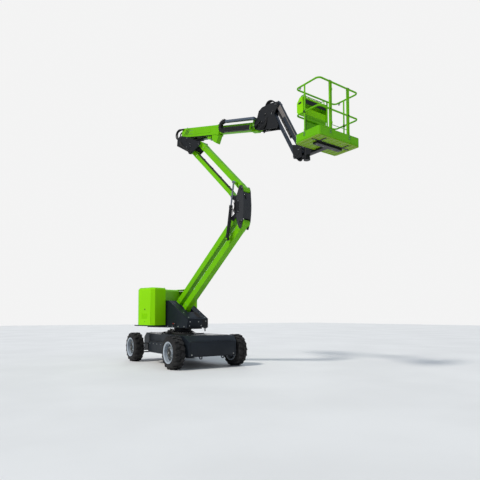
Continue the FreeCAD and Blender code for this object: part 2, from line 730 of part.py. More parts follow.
ram_trunnion = drum("ram_trunnion", "RamPin", "RiserRamSide + 45 - FrontLinkWide / 2 + LinkWall / 2",
                    ("LowerLong - RiserRamBack", "-RiserRamSide - 45", "0"), LEFT)
keep("lower_link_rear", link("link_rear", "LowerLong", "RearLinkDeep", "RearLinkWide", "RearLinkDeep + 10",
                             "LinkPin", WIDE_EYE, NARROW_EYE),
     along_boom(REAR_FOOT, value("LowerRise")))
keep("lower_link_front", link("link_front", "LowerLong", "FrontLinkDeep", "FrontLinkWide", "FrontLinkDeep + 10",
                              "LinkPin", WIDE_EYE, WIDE_EYE, [ram_trunnion]),
     along_boom(FRONT_FOOT, value("LowerRise")))
ram_eye_pin = drum("ram_eye_pin", "RamEyePin + 24", "RiserRamSide - EyeClearance - TopLinkWide / 2 + LinkWall / 2",
                   ("RiserRamAlong", "EyeClearance - RiserRamSide", "0"), LEFT)
keep("upper_link_top", link("link_top", "UpperLong", "TopLinkDeep", "TopLinkWide", "TopLinkDeep + 2",
                            "LinkPin", WIDE_EYE, WIDE_EYE, [ram_eye_pin]),
     along_boom(KNEE_TOP, 180 - value("UpperRise")))
keep("upper_link_low", link("link_low", "UpperLong", "LowLinkDeep", "LowLinkWide", "LowLinkDeep + 12",
                            "LinkPin", NARROW_EYE, WIDE_EYE),
     along_boom(KNEE_LOW, 180 - value("UpperRise")))


def across_at(name, diameter, wide, spot, middle="0"):
    return across(name, diameter, wide, repr(spot.x), repr(spot.z), middle)


def numbers(points):
    return [(repr(x), repr(z)) for x, z in points]


# Knuckle: outer plates for the front pins, inner plates for the rear pins, a curved front skin with a window
kf, kr, kt, kl = KNEE_FRONT, KNEE_REAR, KNEE_TOP, KNEE_LOW
mid = (kf.z + kt.z) / 2
bulge = kf.x + value("KneeFront")
front_edge = [
    (bulge - 72, kf.z - 74), (bulge - 30, kf.z + 40), (bulge - 8, mid - 190), (bulge, mid - 60),
    (bulge, mid + 60), (bulge - 8, mid + 190), (bulge - 22, kt.z - 20), (bulge - 58, kt.z + 88),
]
knuckle = []
for side, word in ((-1, "right"), (1, "left")):
    knuckle.append(plate(f"knuckle_plate_{word}", numbers([
        (kf.x - 44, kf.z - 158), (kf.x + 4, kf.z - 160), *front_edge,
        (kt.x - 16, kt.z + 100), (kt.x - 60, kt.z + 84), (kt.x - 136, kt.z - 110), (kf.x - 168, mid + 120),
        (kf.x - 190, mid), (kf.x - 168, mid - 120), (kf.x - 130, kf.z + 90), (kf.x - 96, kf.z - 60),
    ]), "ForkPlate", f"{side} * (ForkGap + ForkPlate) / 2"))
    knuckle.append(plate(f"knuckle_inner_{word}", numbers([
        (kr.x - 62, kr.z - 34), (kr.x + 10, kr.z - 66), (kr.x + 84, kr.z + 8), (kf.x - 90, kf.z + 160),
        (kf.x + 40, kf.z + 150), (kf.x + 60, mid), (kt.x + 20, kt.z - 130), (kt.x - 100, kt.z - 110),
        (kl.x + 60, kl.z + 20), (kl.x + 30, kl.z + 66), (kl.x - 40, kl.z + 56), (kl.x - 66, kl.z - 20),
        (kf.x - 150, mid + 90), (kf.x - 150, mid - 90), (kr.x - 50, kr.z + 50),
    ]), "20", f"{side} * (InnerFork + 20) / 2"))
inset = value("KneeSkin")
skin_edge = [(bulge - 23.5, kf.z + 100), *front_edge[2:-2], (bulge - 17.6, kt.z - 90)]
knuckle.append(plate("knuckle_skin", numbers(
    skin_edge + [(x - inset, z) for x, z in reversed(skin_edge)]), "ForkGap + 4"))
knuckle.append(box("knuckle_shelf", ("160", "ForkGap + 4", "16"),
                   (repr(kf.x - 120), "-(ForkGap + 4) / 2", repr(mid - 8))))
window = box("knuckle_window", ("120", "70", "130"), (repr(bulge - 60), "-105", repr(mid + 165)))
knee_pins = [across_at(f"knee_pin_{index}", "LinkPin", f"{gap} + 2 * {thick}", spot)
             for index, (spot, gap, thick) in enumerate((
                 (kf, "ForkGap", "ForkPlate"), (kr, "InnerFork", "26"),
                 (kt, "ForkGap", "ForkPlate"), (kl, "InnerFork", "26")))]
keep("knuckle", less("knuckle_cut", joined("knuckle_all", *knuckle, *knee_pins), window), SLEW)

# Top bracket: carries the boom's foot pin and the foot of its ram
ht, hl = HEAD_TOP, HEAD_LOW
foot = LUFF + Vector(value("RamFootX"), 0, value("RamFootZ"))
bracket = []
for side, word in ((-1, "right"), (1, "left")):
    bracket.append(plate(f"bracket_plate_{word}", numbers([
        (hl.x - 20, hl.z - 80),
        (hl.x + 60, hl.z - 40),
        (ht.x + 70, ht.z - 30),
        (ht.x + 50, ht.z + 60),
        (ht.x - 60, ht.z + 85),
        (foot.x + 90, foot.z + 50),
        (LUFF.x + 70, LUFF.z + 44),
        (LUFF.x - 20, LUFF.z + 70),
        (LUFF.x - 130, LUFF.z + 20),
        (LUFF.x - 150, LUFF.z - 200),
        (LUFF.x - 60, LUFF.z - 250),
        (hl.x - 130, hl.z + 20),
        (hl.x - 90, hl.z - 50),
    ]), "ForkPlate", f"{side} * (ForkGap + ForkPlate) / 2"))
bracket_pins = [across_at(f"bracket_pin_{index}", "LinkPin", "ForkGap + 2 * ForkPlate", spot)
                for index, spot in enumerate((ht, hl, LUFF, foot))]
keep("top_bracket", joined("bracket_all", *bracket, *bracket_pins), SLEW)

# Rams

def barrel(name, diameter, long, eye, eye_wide, pin, bore, rod):
    """A ram's barrel, whose mouth narrows to guide the rod."""
    tube = drum(f"{name}_tube", diameter, f"{long} - 30", ("30", "0", "0"), FRONT)
    boss = across(f"{name}_boss", eye, eye_wide, "0", "0")
    hole = drum(f"{name}_bore", bore, f"{long} - 100", ("60", "0", "0"), FRONT)
    mouth = drum(f"{name}_mouth", f"{rod} + 2 * PinClearance", "80", (f"{long} - 60", "0", "0"), FRONT)
    pin_hole = across(f"{name}_pin_hole", f"{pin} + 2 * PinClearance", f"{eye_wide} + 10", "0", "0")
    return less(name, joined(f"{name}_solid", tube, boss), hole, mouth, pin_hole)


def ram_rod(name, diameter, start, eye_at, eye, eye_wide, pin, pin_wide, pin_middle="0"):
    """A rod whose eye holds its own pin, because the linkage is open at this end."""
    shaft = drum(f"{name}_shaft", diameter, f"{eye_at} - ({start})", (start, "0", "0"), FRONT)
    boss = across(f"{name}_boss", eye, eye_wide, eye_at, "0")
    return joined(name, shaft, boss, across(f"{name}_pin", pin, pin_wide, eye_at, "0", pin_middle))


def aimed(start, end, side=0.0):
    """A placement with its X axis from one pin of the boom plane to another."""
    run = end - start
    rise = math.degrees(math.atan2(run.z, run.x))
    return SLEW.multiply(Placement(Vector(start.x, side, start.z), Rotation(LEFT, -rise))), run.Length


riser_foot = KNEE_FRONT - polar(value("RiserRamBack"), value("LowerRise"))
riser_eye = KNEE_TOP + polar(value("RiserRamAlong"), 180 - value("UpperRise"))
place, long = aimed(riser_foot, riser_eye, -value("RiserRamSide"))
keep("riser_ram_barrel", barrel("riser_barrel", "86", "RiserRamLong", "90", "70", "RamPin", "62", "46"), place)
keep("riser_ram_rod", ram_rod("riser_rod", "46", "RiserRamLong - 400", repr(long), "70", "60", "RamEyePin", "70", "-5"),
     place)

boom_eye = LUFF + Vector(value("RamEyeX"), 0, value("RamEyeZ"))
place, long = aimed(foot, boom_eye)
keep("boom_ram_barrel", barrel("boom_barrel", "88", "560", "100", "ForkGap - 2 * SideClearance", "LinkPin", "66", "50"),
     place)
keep("boom_ram_rod", ram_rod("boom_rod", "50", "170", repr(long), "76", "70", "40", "74"), place)

# Telescopic boom, along X from the foot pin
BOOM = along_boom(LUFF, value("BoomDrop"))
outer_tube = box("boom_outer_tube", ("BoomLong", "BoomWide", "BoomDeep"),
                 ("BoomRearX", "-BoomWide / 2", "BoomAxisZ - BoomDeep / 2"))
outer_hollow = box("boom_outer_hollow", ("BoomLong + 20", "BoomWide - 2 * BoomWall", "BoomDeep - 2 * BoomWall"),
                   ("BoomRearX - 10", "-BoomWide / 2 + BoomWall", "BoomAxisZ - BoomDeep / 2 + BoomWall"))
turn_back = Rotation(LEFT, value("BoomDrop"))
eye_here = turn_back.multVec(boom_eye - LUFF)
foot_lugs = plate("boom_foot_lugs", [
    ("-70", "-10"), ("-30", "-60"), ("40", "-60"), ("90", "0"),
    ("170", "BoomAxisZ - BoomDeep / 2 + 2"), ("-70", "BoomAxisZ - BoomDeep / 2 + 2")],
    "BoomWide")
ears = []
for side, word in ((-1, "right"), (1, "left")):
    ears.append(plate(f"boom_ear_{word}", [
        (f"{eye_here.x} - 50", f"{eye_here.z} - 8"),
        (f"{eye_here.x} - 22", f"{eye_here.z} - 44"),
        (f"{eye_here.x} + 70", f"{eye_here.z} - 52"),
        (f"{eye_here.x} + 104", "BoomAxisZ - BoomDeep / 2 + 2"),
        (f"{eye_here.x} - 62", "BoomAxisZ - BoomDeep / 2 + 2"),
    ], "20", f"{side} * 55"))
    ears.append(across(f"boom_ear_boss_{word}", "62", "30", repr(eye_here.x), repr(eye_here.z), f"{side} * 61"))
front_end, underside = "BoomRearX + BoomLong", "BoomAxisZ - BoomDeep / 2"
stop_block = plate("boom_stop", [
    (f"{front_end} - 280", f"{underside} + 2"),
    (f"{front_end} - 262", f"{underside} - 110"),
    (f"{front_end} - 186", f"{underside} - 184"),
    (f"{front_end} - 63", f"{underside} - 235"),
    (f"{front_end} - 20", f"{underside} - 60"),
    (f"{front_end} - 8", f"{underside} + 2"),
], "BoomWide - 20")
collar = box("boom_collar", ("70", "BoomWide + 24", "BoomDeep + 24"),
             ("BoomRearX + BoomLong - 70", "-(BoomWide + 24) / 2", "BoomAxisZ - (BoomDeep + 24) / 2"))
luff_bore = across("boom_luff_bore", "LinkPin + 2 * PinClearance", "ForkGap", "0", "0")
keep("boom_outer", less("boom_outer_cut", joined("boom_outer_all", outer_tube, collar, foot_lugs, stop_block, *ears),
                        outer_hollow, luff_bore), BOOM)

tip = "BoomRearX + BoomLong + InnerReach"
inner_tube = box("boom_inner_tube", ("InnerLong", "InnerWide", "InnerDeep"),
                 (f"{tip} - InnerLong", "-InnerWide / 2", "BoomAxisZ - InnerDeep / 2"))
inner_hollow = box("boom_inner_hollow", ("InnerLong + 20", "InnerWide - 2 * InnerWall", "InnerDeep - 2 * InnerWall"),
                   (f"{tip} - InnerLong - 10", "-InnerWide / 2 + InnerWall", "BoomAxisZ - InnerDeep / 2 + InnerWall"))
pads = centred("boom_pad_rear", ("60", "BoomWide - 2 * BoomWall - 2", "BoomDeep - 2 * BoomWall - 2"),
               (f"{tip} - InnerLong + 60", "0", "BoomAxisZ"))
nose = box("boom_nose", ("NoseLong", "InnerWide", "InnerDeep + 120"),
           ("NoseStart", "-InnerWide / 2", "BoomAxisZ - InnerDeep / 2 - 40"))
tip_bore = across("boom_tip_bore", "LinkPin + 2 * PinClearance", "InnerWide + 10", f"{tip} - 40", "BoomAxisZ")
keep("boom_inner", less("boom_inner_cut", joined("boom_inner_all", inner_tube, pads, nose), inner_hollow, tip_bore), BOOM)

# Energy chain and its cover, beside the tubes and clear of the collar
chain_y = "-ChainSide - ChainWide"
chain_ring = less(
    "chain_ring",
    across("chain_outside", "2 * ChainBend", "ChainWide", "ChainX", "ChainZ", "-ChainSide - ChainWide / 2"),
    across("chain_inside", "2 * (ChainBend - ChainThick)", "ChainWide + 10", "ChainX", "ChainZ",
           "-ChainSide - ChainWide / 2"),
    box("chain_half", ("ChainBend + 10", "ChainWide + 20", "2 * ChainBend + 20"),
        ("ChainX", f"{chain_y} - 10", "ChainZ - ChainBend - 10")))
chain = [
    chain_ring,
    box("chain_low", ("NoseStart - ChainX", "ChainWide", "ChainThick + 45"),
        ("ChainX - 1", chain_y, "ChainZ - ChainBend")),
    box("chain_top", ("60", "ChainWide", "ChainThick"), ("ChainX - 1", chain_y, "ChainZ + ChainBend - ChainThick")),
    box("chain_arm", ("44", "ChainSide - InnerWide / 2 + 4 - SeatClearance", "70"),
        ("NoseStart - 46", "-ChainSide - 4", "ChainZ - ChainBend + 25")),
]
keep("hose_carrier", joined("hose_carrier_all", *chain), BOOM)
cover_low = "ChainZ + ChainBend - ChainThick - 10"
nose_top = "BoomAxisZ + InnerDeep / 2 + 80"
keep("hose_cover", joined(
    "hose_cover_all",
    box("cover_rail", ("NoseStart + 100 - ChainX - 62", "ChainWide + 6", "CoverThick"),
        ("ChainX + 62", f"{chain_y} - 6", cover_low)),
    box("cover_tie", ("100", "ChainSide + ChainWide / 2", f"{cover_low} + CoverThick - ({nose_top}) - SeatClearance"),
        ("NoseStart", "-ChainSide - ChainWide / 2", f"{nose_top} + SeatClearance"))), BOOM)


def hose(name, radius, tube, x, z, start, middle, swing=180):
    """A hose's round loop in the boom plane, its angle counted up from the X axis."""
    item = doc.addObject("Part::Torus", name)
    bind(item, Radius1=radius, Radius2=f"({tube}) / 2")
    item.Angle3 = swing
    item.Placement = Placement(Vector(), Rotation(FRONT, 90).multiply(Rotation(UP, start)))
    return move(item, (x, middle, z))


loop_x, loop_z, loop_y = "BoomRearX - 90", "BoomAxisZ - 45", "-BoomWide / 2 - 18 - SeatClearance"
keep("boom_hose_loop", joined(
    "boom_hoses",
    hose("boom_hose_bend", "145", "36", loop_x, loop_z, 90, loop_y),
    drum("boom_hose_top", "36", "170", (loop_x, loop_y, f"{loop_z} + 145"), FRONT),
    drum("boom_hose_low", "36", "95", (loop_x, loop_y, f"{loop_z} - 145"), FRONT)), BOOM)

# Head bracket: its boss turns on the boom's tip, its fork holds the jib
boom_place = Placement(LUFF, Rotation(LEFT, -value("BoomDrop")))
tip_pin = boom_place.multVec(Vector(value(tip) - 40, 0, value("BoomAxisZ")))
head_pin = Vector(value("HeadX"), 0, value("HeadZ"))
head_low = head_pin + Vector(value("HeadPairX"), 0, value("HeadPairZ"))
head = []
for side, word in ((-1, "right"), (1, "left")):
    head.append(plate(f"head_plate_{word}", numbers([
        (tip_pin.x - 137, tip_pin.z - 70), (tip_pin.x + 28, tip_pin.z - 130),
        (head_pin.x - 80, head_pin.z - 585), (head_pin.x + 10, head_pin.z - 610),
        (head_pin.x + 50, head_pin.z - 535), (head_pin.x - 85, head_pin.z - 215),
        (head_pin.x + 45, head_pin.z - 45), (head_pin.x + 50, head_pin.z + 25), (head_pin.x, head_pin.z + 55),
        (head_pin.x - 210, head_pin.z + 75), (head_pin.x - 340, head_pin.z + 65),
        (head_pin.x - 460, head_pin.z + 52), (tip_pin.x - 7, tip_pin.z + 370),
        (tip_pin.x - 57, tip_pin.z + 220), (tip_pin.x - 167, tip_pin.z + 110),
    ]), "HeadPlate", f"{side} * (InnerWide + 2 * SideClearance + HeadPlate) / 2"))
head_pins = [across_at(f"head_pin_{index}", size, "InnerWide + 2 * SideClearance + 2 * HeadPlate", spot)
             for index, (spot, size) in enumerate(((tip_pin, "LinkPin"), (head_pin, "JibPin"), (head_low, "JibPin")))]
head_web = box("head_web", ("310", "InnerWide + 2 * SideClearance + 4", "14"),
               (repr(head_pin.x - 410), "-(InnerWide + 2 * SideClearance + 4) / 2", repr(head_pin.z + 40)))
keep("head_bracket", joined("head_all", *head, *head_pins, head_web), SLEW)
loop_at = (repr(head_pin.x - 255), "0", repr(head_pin.z + 54.3))
keep("head_hose_loop", hose("head_hose", "125", "30", loop_at[0], loop_at[2], 0, "0", 180), SLEW)


# Jib
def jib_member(name, deep, wide, tail):
    body = box(f"{name}_tube", (f"JibLong + {tail}", wide, deep), (f"-{tail}", f"-({wide}) / 2", f"-({deep}) / 2"))
    bosses = [across(f"{name}_boss_{end}", f"{deep} + 6", "InnerWide", x, "0")
              for end, x in (("near", "0"), ("far", "JibLong"))]
    hollow = box(f"{name}_hollow", (f"JibLong - {deep} - 20", f"{wide} - 2 * JibWall", f"{deep} - 2 * JibWall"),
                 (f"{deep} / 2 + 10", f"-({wide}) / 2 + JibWall", f"-({deep}) / 2 + JibWall"))
    bores = [across(f"{name}_bore_{end}", "JibPin + 2 * PinClearance", "InnerWide + 10", x, "0")
             for end, x in (("near", "0"), ("far", "JibLong"))]
    return less(name, joined(f"{name}_solid", body, *bosses), hollow, *bores)


keep("jib_upper", jib_member("jib_high", "JibDeep", "JibWide", "JibTail"), along_boom(head_pin, value("JibDrop")))
keep("jib_lower", jib_member("jib_low", "JibLowDeep", "JibLowWide", "0"), along_boom(head_low, value("JibDrop")))
JIB = polar(value("JibLong"), value("JibDrop"))
jib_high_end, jib_low_end = head_pin + JIB, head_low + JIB

# Cage bracket with the rotator
rotator_x = jib_high_end.x + value("RotatorOut")
rotator_low, cage_low = jib_high_end.z - value("RotatorDrop"), jib_high_end.z - value("CageDrop")
cage_plates = []
for side, word in ((-1, "right"), (1, "left")):
    cage_plates.append(plate(f"cage_bracket_plate_{word}", numbers([
        (jib_high_end.x - 202, jib_high_end.z + 143), (jib_low_end.x - 46, jib_low_end.z - 4),
        (jib_low_end.x - 18, jib_low_end.z - 46), (jib_low_end.x + 35, jib_low_end.z - 58),
        (jib_high_end.x + 31, jib_high_end.z - 197), (rotator_x - 20, rotator_low + 12),
        (rotator_x + 40, rotator_low + 12), (rotator_x + 40, cage_low - 62), (rotator_x - 82, cage_low - 62),
        (rotator_x - 82, jib_high_end.z + 80), (jib_high_end.x - 55, jib_high_end.z + 103),
    ]), "HeadPlate", f"{side} * (InnerWide + 2 * SideClearance + HeadPlate) / 2"))
cage_pins = [across_at(f"cage_pin_{index}", "JibPin", "InnerWide + 2 * SideClearance + 2 * HeadPlate", spot)
             for index, spot in enumerate((jib_high_end, jib_low_end))]
rotator = drum("rotator_case", "RotatorDiameter", "RotatorDrop - CageDrop - 60", (repr(rotator_x), "0", repr(rotator_low)))
keep("cage_bracket", joined("cage_bracket_all", *cage_plates, *cage_pins, rotator), SLEW)

# Cage, in its own frame: X from the boom side outwards, Y along its length
CAGE = SLEW.multiply(Placement(Vector(rotator_x, 0, cage_low), Rotation(UP, value("CageTurn"))))
mount = [
    drum("rotator_top", "RotatorDiameter - 10", "60 - SeatClearance * 2", ("0", "0", "SeatClearance - 60")),
    box("mount_arm", ("CageInset + CageDeep / 2 + 60", "120", "46"), ("0", "-60", "-46 - SeatClearance")),
    box("mount_cross", ("120", "CageLong * 0.62", "46"),
        ("CageInset + CageDeep / 2 - 60", "-CageLong * 0.31", "-46 - SeatClearance")),
    drum("mount_drum", "RotatorDiameter - 24", "TowerHigh", ("0", "0", "-2")),
    plate("mount_tower", [
        ("-40", "-2"), ("-40", "TowerHigh - 30"), ("-20", "TowerHigh + 28"), ("194", "110"), ("207", "50"),
        ("150", "-40"), ("0", "-40"),
    ], "110"),
]
keep("cage_mount", joined("cage_mount_all", *mount), CAGE)


def upright(middle, run):
    """Whether an edge stands straight up."""
    return abs(run.z) > 1 and abs(run.x) + abs(run.y) < 0.01


toe_outer = rounded("toe_outer", box("toe_block", ("CageDeep", "CageLong", "ToeHigh"),
                                     ("CageInset", "-CageLong / 2", "0")), "ToeBend", upright)
toe_inner = rounded("toe_inner", box("toe_space", ("CageDeep - 2 * ToeWall", "CageLong - 2 * ToeWall", "ToeHigh"),
                                     ("CageInset + ToeWall", "-CageLong / 2 + ToeWall", "FloorThick")),
                    "ToeBend - ToeWall", upright)
keep("cage_floor", less("cage_floor_all", toe_outer, toe_inner), CAGE)

near_x = "(CageInset + RailTube / 2)"
far_x = "(CageInset + CageDeep - RailTube / 2)"
left_y = "(CageLong / 2 - RailTube / 2)"
right_y = "(RailTube / 2 - CageLong / 2)"
rail_top = "CageHigh - RailTube / 2"


def rail(name, start, end, z):
    """A level tube between two points of the cage's plan, along X or along Y."""
    along_x = start[1] == end[1]
    run = f"{end[0]} - {start[0]}" if along_x else f"{end[1]} - {start[1]}"
    return drum(name, "RailTube", run, (start[0], start[1], z), FRONT if along_x else LEFT)


def bend(name, x, y, z, turn):
    """A quarter bend of the rail, centred inside a corner of the cage."""
    item = doc.addObject("Part::Torus", name)
    bind(item, Radius1="RailBend", Radius2="RailTube / 2")
    item.Angle3 = 90
    item.Placement = at(0, 0, 0, turn)
    return move(item, (x, y, z))


rail_tubes = []
for level, z in (("top", rail_top), ("mid", "MidRail")):
    low_x, high_x = f"({near_x} + RailBend)", f"({far_x} - RailBend)"
    low_y, high_y = f"({right_y} + RailBend)", f"({left_y} - RailBend)"
    rail_tubes += [
        rail(f"rail_near_{level}", (near_x, low_y), (near_x, high_y), z),
        rail(f"rail_right_{level}", (low_x, right_y), (high_x, right_y), z),
        rail(f"rail_left_{level}", (low_x, left_y), (high_x, left_y), z),
        rail(f"rail_far_right_{level}", (far_x, low_y), (far_x, "(GateStart - RailTube / 2 - 2)"), z),
        rail(f"rail_far_left_{level}", (far_x, "(GateEnd + RailTube / 2 + 2)"), (far_x, high_y), z),
        bend(f"bend_far_left_{level}", high_x, high_y, z, 0),
        bend(f"bend_near_left_{level}", low_x, high_y, z, 90),
        bend(f"bend_near_right_{level}", low_x, low_y, z, 180),
        bend(f"bend_far_right_{level}", high_x, low_y, z, 270),
    ]
gate_post, plain_post = ("RailTube + 4", f"({rail_top} + RailTube / 2 + 3)"), ("RailTube - 2", f"({rail_top} - 4)")
# name, x, y, diameter and top
POSTS = (
    ("gate_right", far_x, "GateStart - RailTube / 2 - 2", gate_post),
    ("gate_left", far_x, "GateEnd + RailTube / 2 + 2", gate_post),
    ("side_right", "CageInset + CageDeep * 0.4", right_y, plain_post),
    ("side_left", "CageInset + CageDeep * 0.4", left_y, plain_post),
    ("back_right", near_x, "-ConsoleLong / 2 + RailTube", plain_post),
    ("back_left", near_x, "ConsoleLong / 2 - RailTube", plain_post),
)
rail_tubes += [drum(f"post_{name}", size, f"{high} - ToeHigh + 60", (x, y, "ToeHigh - 60"))
               for name, x, y, (size, high) in POSTS]
rail_tubes += [box(f"post_foot_{name}", ("RailTube - 4", "RailTube - 4", "60"),
                   (f"{x} - RailTube / 2 + 2", f"{y} - RailTube / 2 + 2", "ToeHigh + SeatClearance"))
               for name, x, y, _ in POSTS]
trim = box("post_trim", ("CageDeep + 100", "CageLong + 100", "200"),
           ("CageInset - 50", "-CageLong / 2 - 50", "ToeHigh - 200 + SeatClearance"))
gate_start, gate_end = "(GateStart + SideClearance + RailTube / 2)", "(GateEnd - SideClearance - RailTube / 2)"
hinge_rings = [drum(f"hinge_ring_{name}", "RailTube + 18", "40", (far_x, gate_start, z))
               for name, z in (("low", "ToeHigh + 130"), ("high", "CageHigh - 200"))]
hinge_bore = drum("hinge_bore", "RailTube + 2 * PinClearance", "CageHigh", (far_x, gate_start, "0"))
keep("cage_rails", less("cage_rails_cut", joined("cage_rails_all", *rail_tubes, *hinge_rings), hinge_bore, trim), CAGE)

gate_low, gate_top = "ToeHigh + 20", rail_top
gate = [
    drum("gate_post_hinge", "RailTube", f"{gate_top} + RailTube / 2 - ({gate_low})", (far_x, gate_start, gate_low)),
    drum("gate_post_latch", "RailTube", f"{gate_top} + RailTube / 2 - ({gate_low})", (far_x, gate_end, gate_low)),
    rail("gate_rail_mid", (far_x, gate_start), (far_x, gate_end), "MidRail"),
    rail("gate_rail_top", (far_x, gate_start), (far_x, gate_end), gate_top),
]
keep("cage_gate", joined("cage_gate_all", *gate), CAGE)

console_x = "CageInset - SeatClearance"
console_form = plate("console_form", [
    (console_x, "ConsoleLow"),
    (f"{console_x} - ConsoleDeep + 70", "ConsoleLow"),
    (f"{console_x} - ConsoleDeep", "ConsoleLow + 80"),
    (f"{console_x} - ConsoleDeep", "ConsoleLow + ConsoleHigh - 110"),
    (f"{console_x} - ConsoleDeep + 90", "ConsoleLow + ConsoleHigh"),
    (console_x, "ConsoleLow + ConsoleHigh"),
], "ConsoleLong")
console_space = plate("console_space", [
    (f"{console_x} + 5", "ConsoleLow + 150"),
    (f"{console_x} - ConsoleDeep + 100", "ConsoleLow + 150"),
    (f"{console_x} - ConsoleDeep + 40", "ConsoleLow + 200"),
    (f"{console_x} - ConsoleDeep + 40", "ConsoleLow + ConsoleHigh - 130"),
    (f"{console_x} - ConsoleDeep + 110", "ConsoleLow + ConsoleHigh - 40"),
    (f"{console_x} + 5", "ConsoleLow + ConsoleHigh - 40"),
], "ConsoleLong - 60")
keep("console_hood", less("console_cut", console_form, console_space), CAGE)
keep("cage_back_panel", box("back_panel", ("12", "ConsoleLong - 3 * RailTube", "ConsoleLow - ToeHigh + 60"),
                            ("CageInset - 12 - SeatClearance", "-(ConsoleLong - 3 * RailTube) / 2",
                             "ToeHigh - 60 - SeatClearance")), CAGE)

# Check and write
doc.recompute()
os.makedirs("parts", exist_ok=True)
for item in doc.Objects:
    if "Invalid" in item.State or "Error" in item.State:
        raise RuntimeError(f"{item.Name} failed: {item.State}")
faulty = [label for label, item in PARTS if item.Shape.isNull() or not item.Shape.isValid()]
if faulty:
    raise RuntimeError(f"no valid shape: {faulty}")
for label, item in PARTS:
    shape = item.Shape
    shape.exportStep(f"parts/{label}.step")
print(len(PARTS), "sub-parts written")
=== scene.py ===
import json
import logging
import math
from dataclasses import dataclass
from enum import Enum
from typing import Iterable, Sequence

import bmesh
import bpy
from mathutils import Matrix, Vector


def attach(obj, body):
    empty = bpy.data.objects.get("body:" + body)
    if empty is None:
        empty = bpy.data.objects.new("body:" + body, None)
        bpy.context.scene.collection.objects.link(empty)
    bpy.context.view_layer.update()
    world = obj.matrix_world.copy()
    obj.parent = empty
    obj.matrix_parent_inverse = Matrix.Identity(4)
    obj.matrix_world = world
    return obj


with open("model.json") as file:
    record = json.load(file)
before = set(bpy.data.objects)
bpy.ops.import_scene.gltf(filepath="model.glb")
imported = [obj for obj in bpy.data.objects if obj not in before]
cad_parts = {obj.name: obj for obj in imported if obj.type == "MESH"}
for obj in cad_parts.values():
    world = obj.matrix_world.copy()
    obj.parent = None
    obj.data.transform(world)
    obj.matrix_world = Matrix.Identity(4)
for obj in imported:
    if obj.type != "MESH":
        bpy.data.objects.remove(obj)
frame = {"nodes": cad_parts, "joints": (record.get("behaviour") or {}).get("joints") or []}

logging.basicConfig(level=logging.INFO, format="%(message)s")
log = logging.getLogger("boom_lift")
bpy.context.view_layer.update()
SIDES = (-1, 1)
ORIGIN, UP, DOWN, AHEAD = (0, 0, 0), (0, 0, 1), (0, 0, -1), (1, 0, 0)
Point = Sequence[float]
Colour = tuple[float, float, float, float]


class Axis(Enum):
    """The local axis that a shape runs along."""

    X = 0
    Y = 1
    Z = 2


# Places of the sub-assemblies

def turn(degrees: float, axis: str = "Z") -> Matrix:
    """A rotation about a main axis, as a 4 by 4 matrix."""
    return Matrix.Rotation(math.radians(degrees), 4, axis)


def pin(joint: str) -> Vector:
    """A joint's place at rest in the row frame, in metres."""
    return next(Vector(entry["pos_m"]) for entry in frame["joints"] if entry["name"] == joint)


def shift(*place: float) -> Matrix:
    """A move, as a 4 by 4 matrix."""
    return Matrix.Translation(place)


def show(name: str, data: bpy.types.ID) -> bpy.types.Object:
    """An object made of some data and put in the scene."""
    made = bpy.data.objects.new(name, data)
    bpy.context.scene.collection.objects.link(made)
    return made


@dataclass(frozen=True)
class Layout:
    """Angles and lengths that place the sub-assemblies, in degrees and metres."""

    slew: float = 15.0
    lower_rise: float = 44.53
    upper_rise: float = 45.07
    boom_drop: float = 11.4
    jib_drop: float = 62.7
    cage_turn: float = -12.4
    lower_long: float = 3.184
    upper_long: float = 2.266
    cage_low: float = 5.15

    def turret(self) -> Matrix:
        """The turret's frame: +X along the booms, origin under the slewing axis."""
        return turn(self.slew)

    def link(self, joint: str, rise: float) -> Matrix:
        """A link's frame: origin at its first joint's pin, +X along it, at an angle above level in degrees."""
        return self.level(joint) @ turn(-rise, "Y")

    def boom(self) -> Matrix:
        """The boom's frame: origin at the foot pin, +X along the tubes."""
        return self.link("boom_luff", -self.boom_drop)

    def level(self, joint: str) -> Matrix:
        """A level frame at a joint, turned with the booms."""
        return shift(*pin(joint)) @ self.turret()

    def cage(self) -> Matrix:
        """The cage's frame: origin on the rotator at the floor's underside."""
        at = pin("cage_rotate")
        return shift(at.x, at.y, self.cage_low) @ turn(self.slew + self.cage_turn)


LAYOUT = Layout()


# Node trees

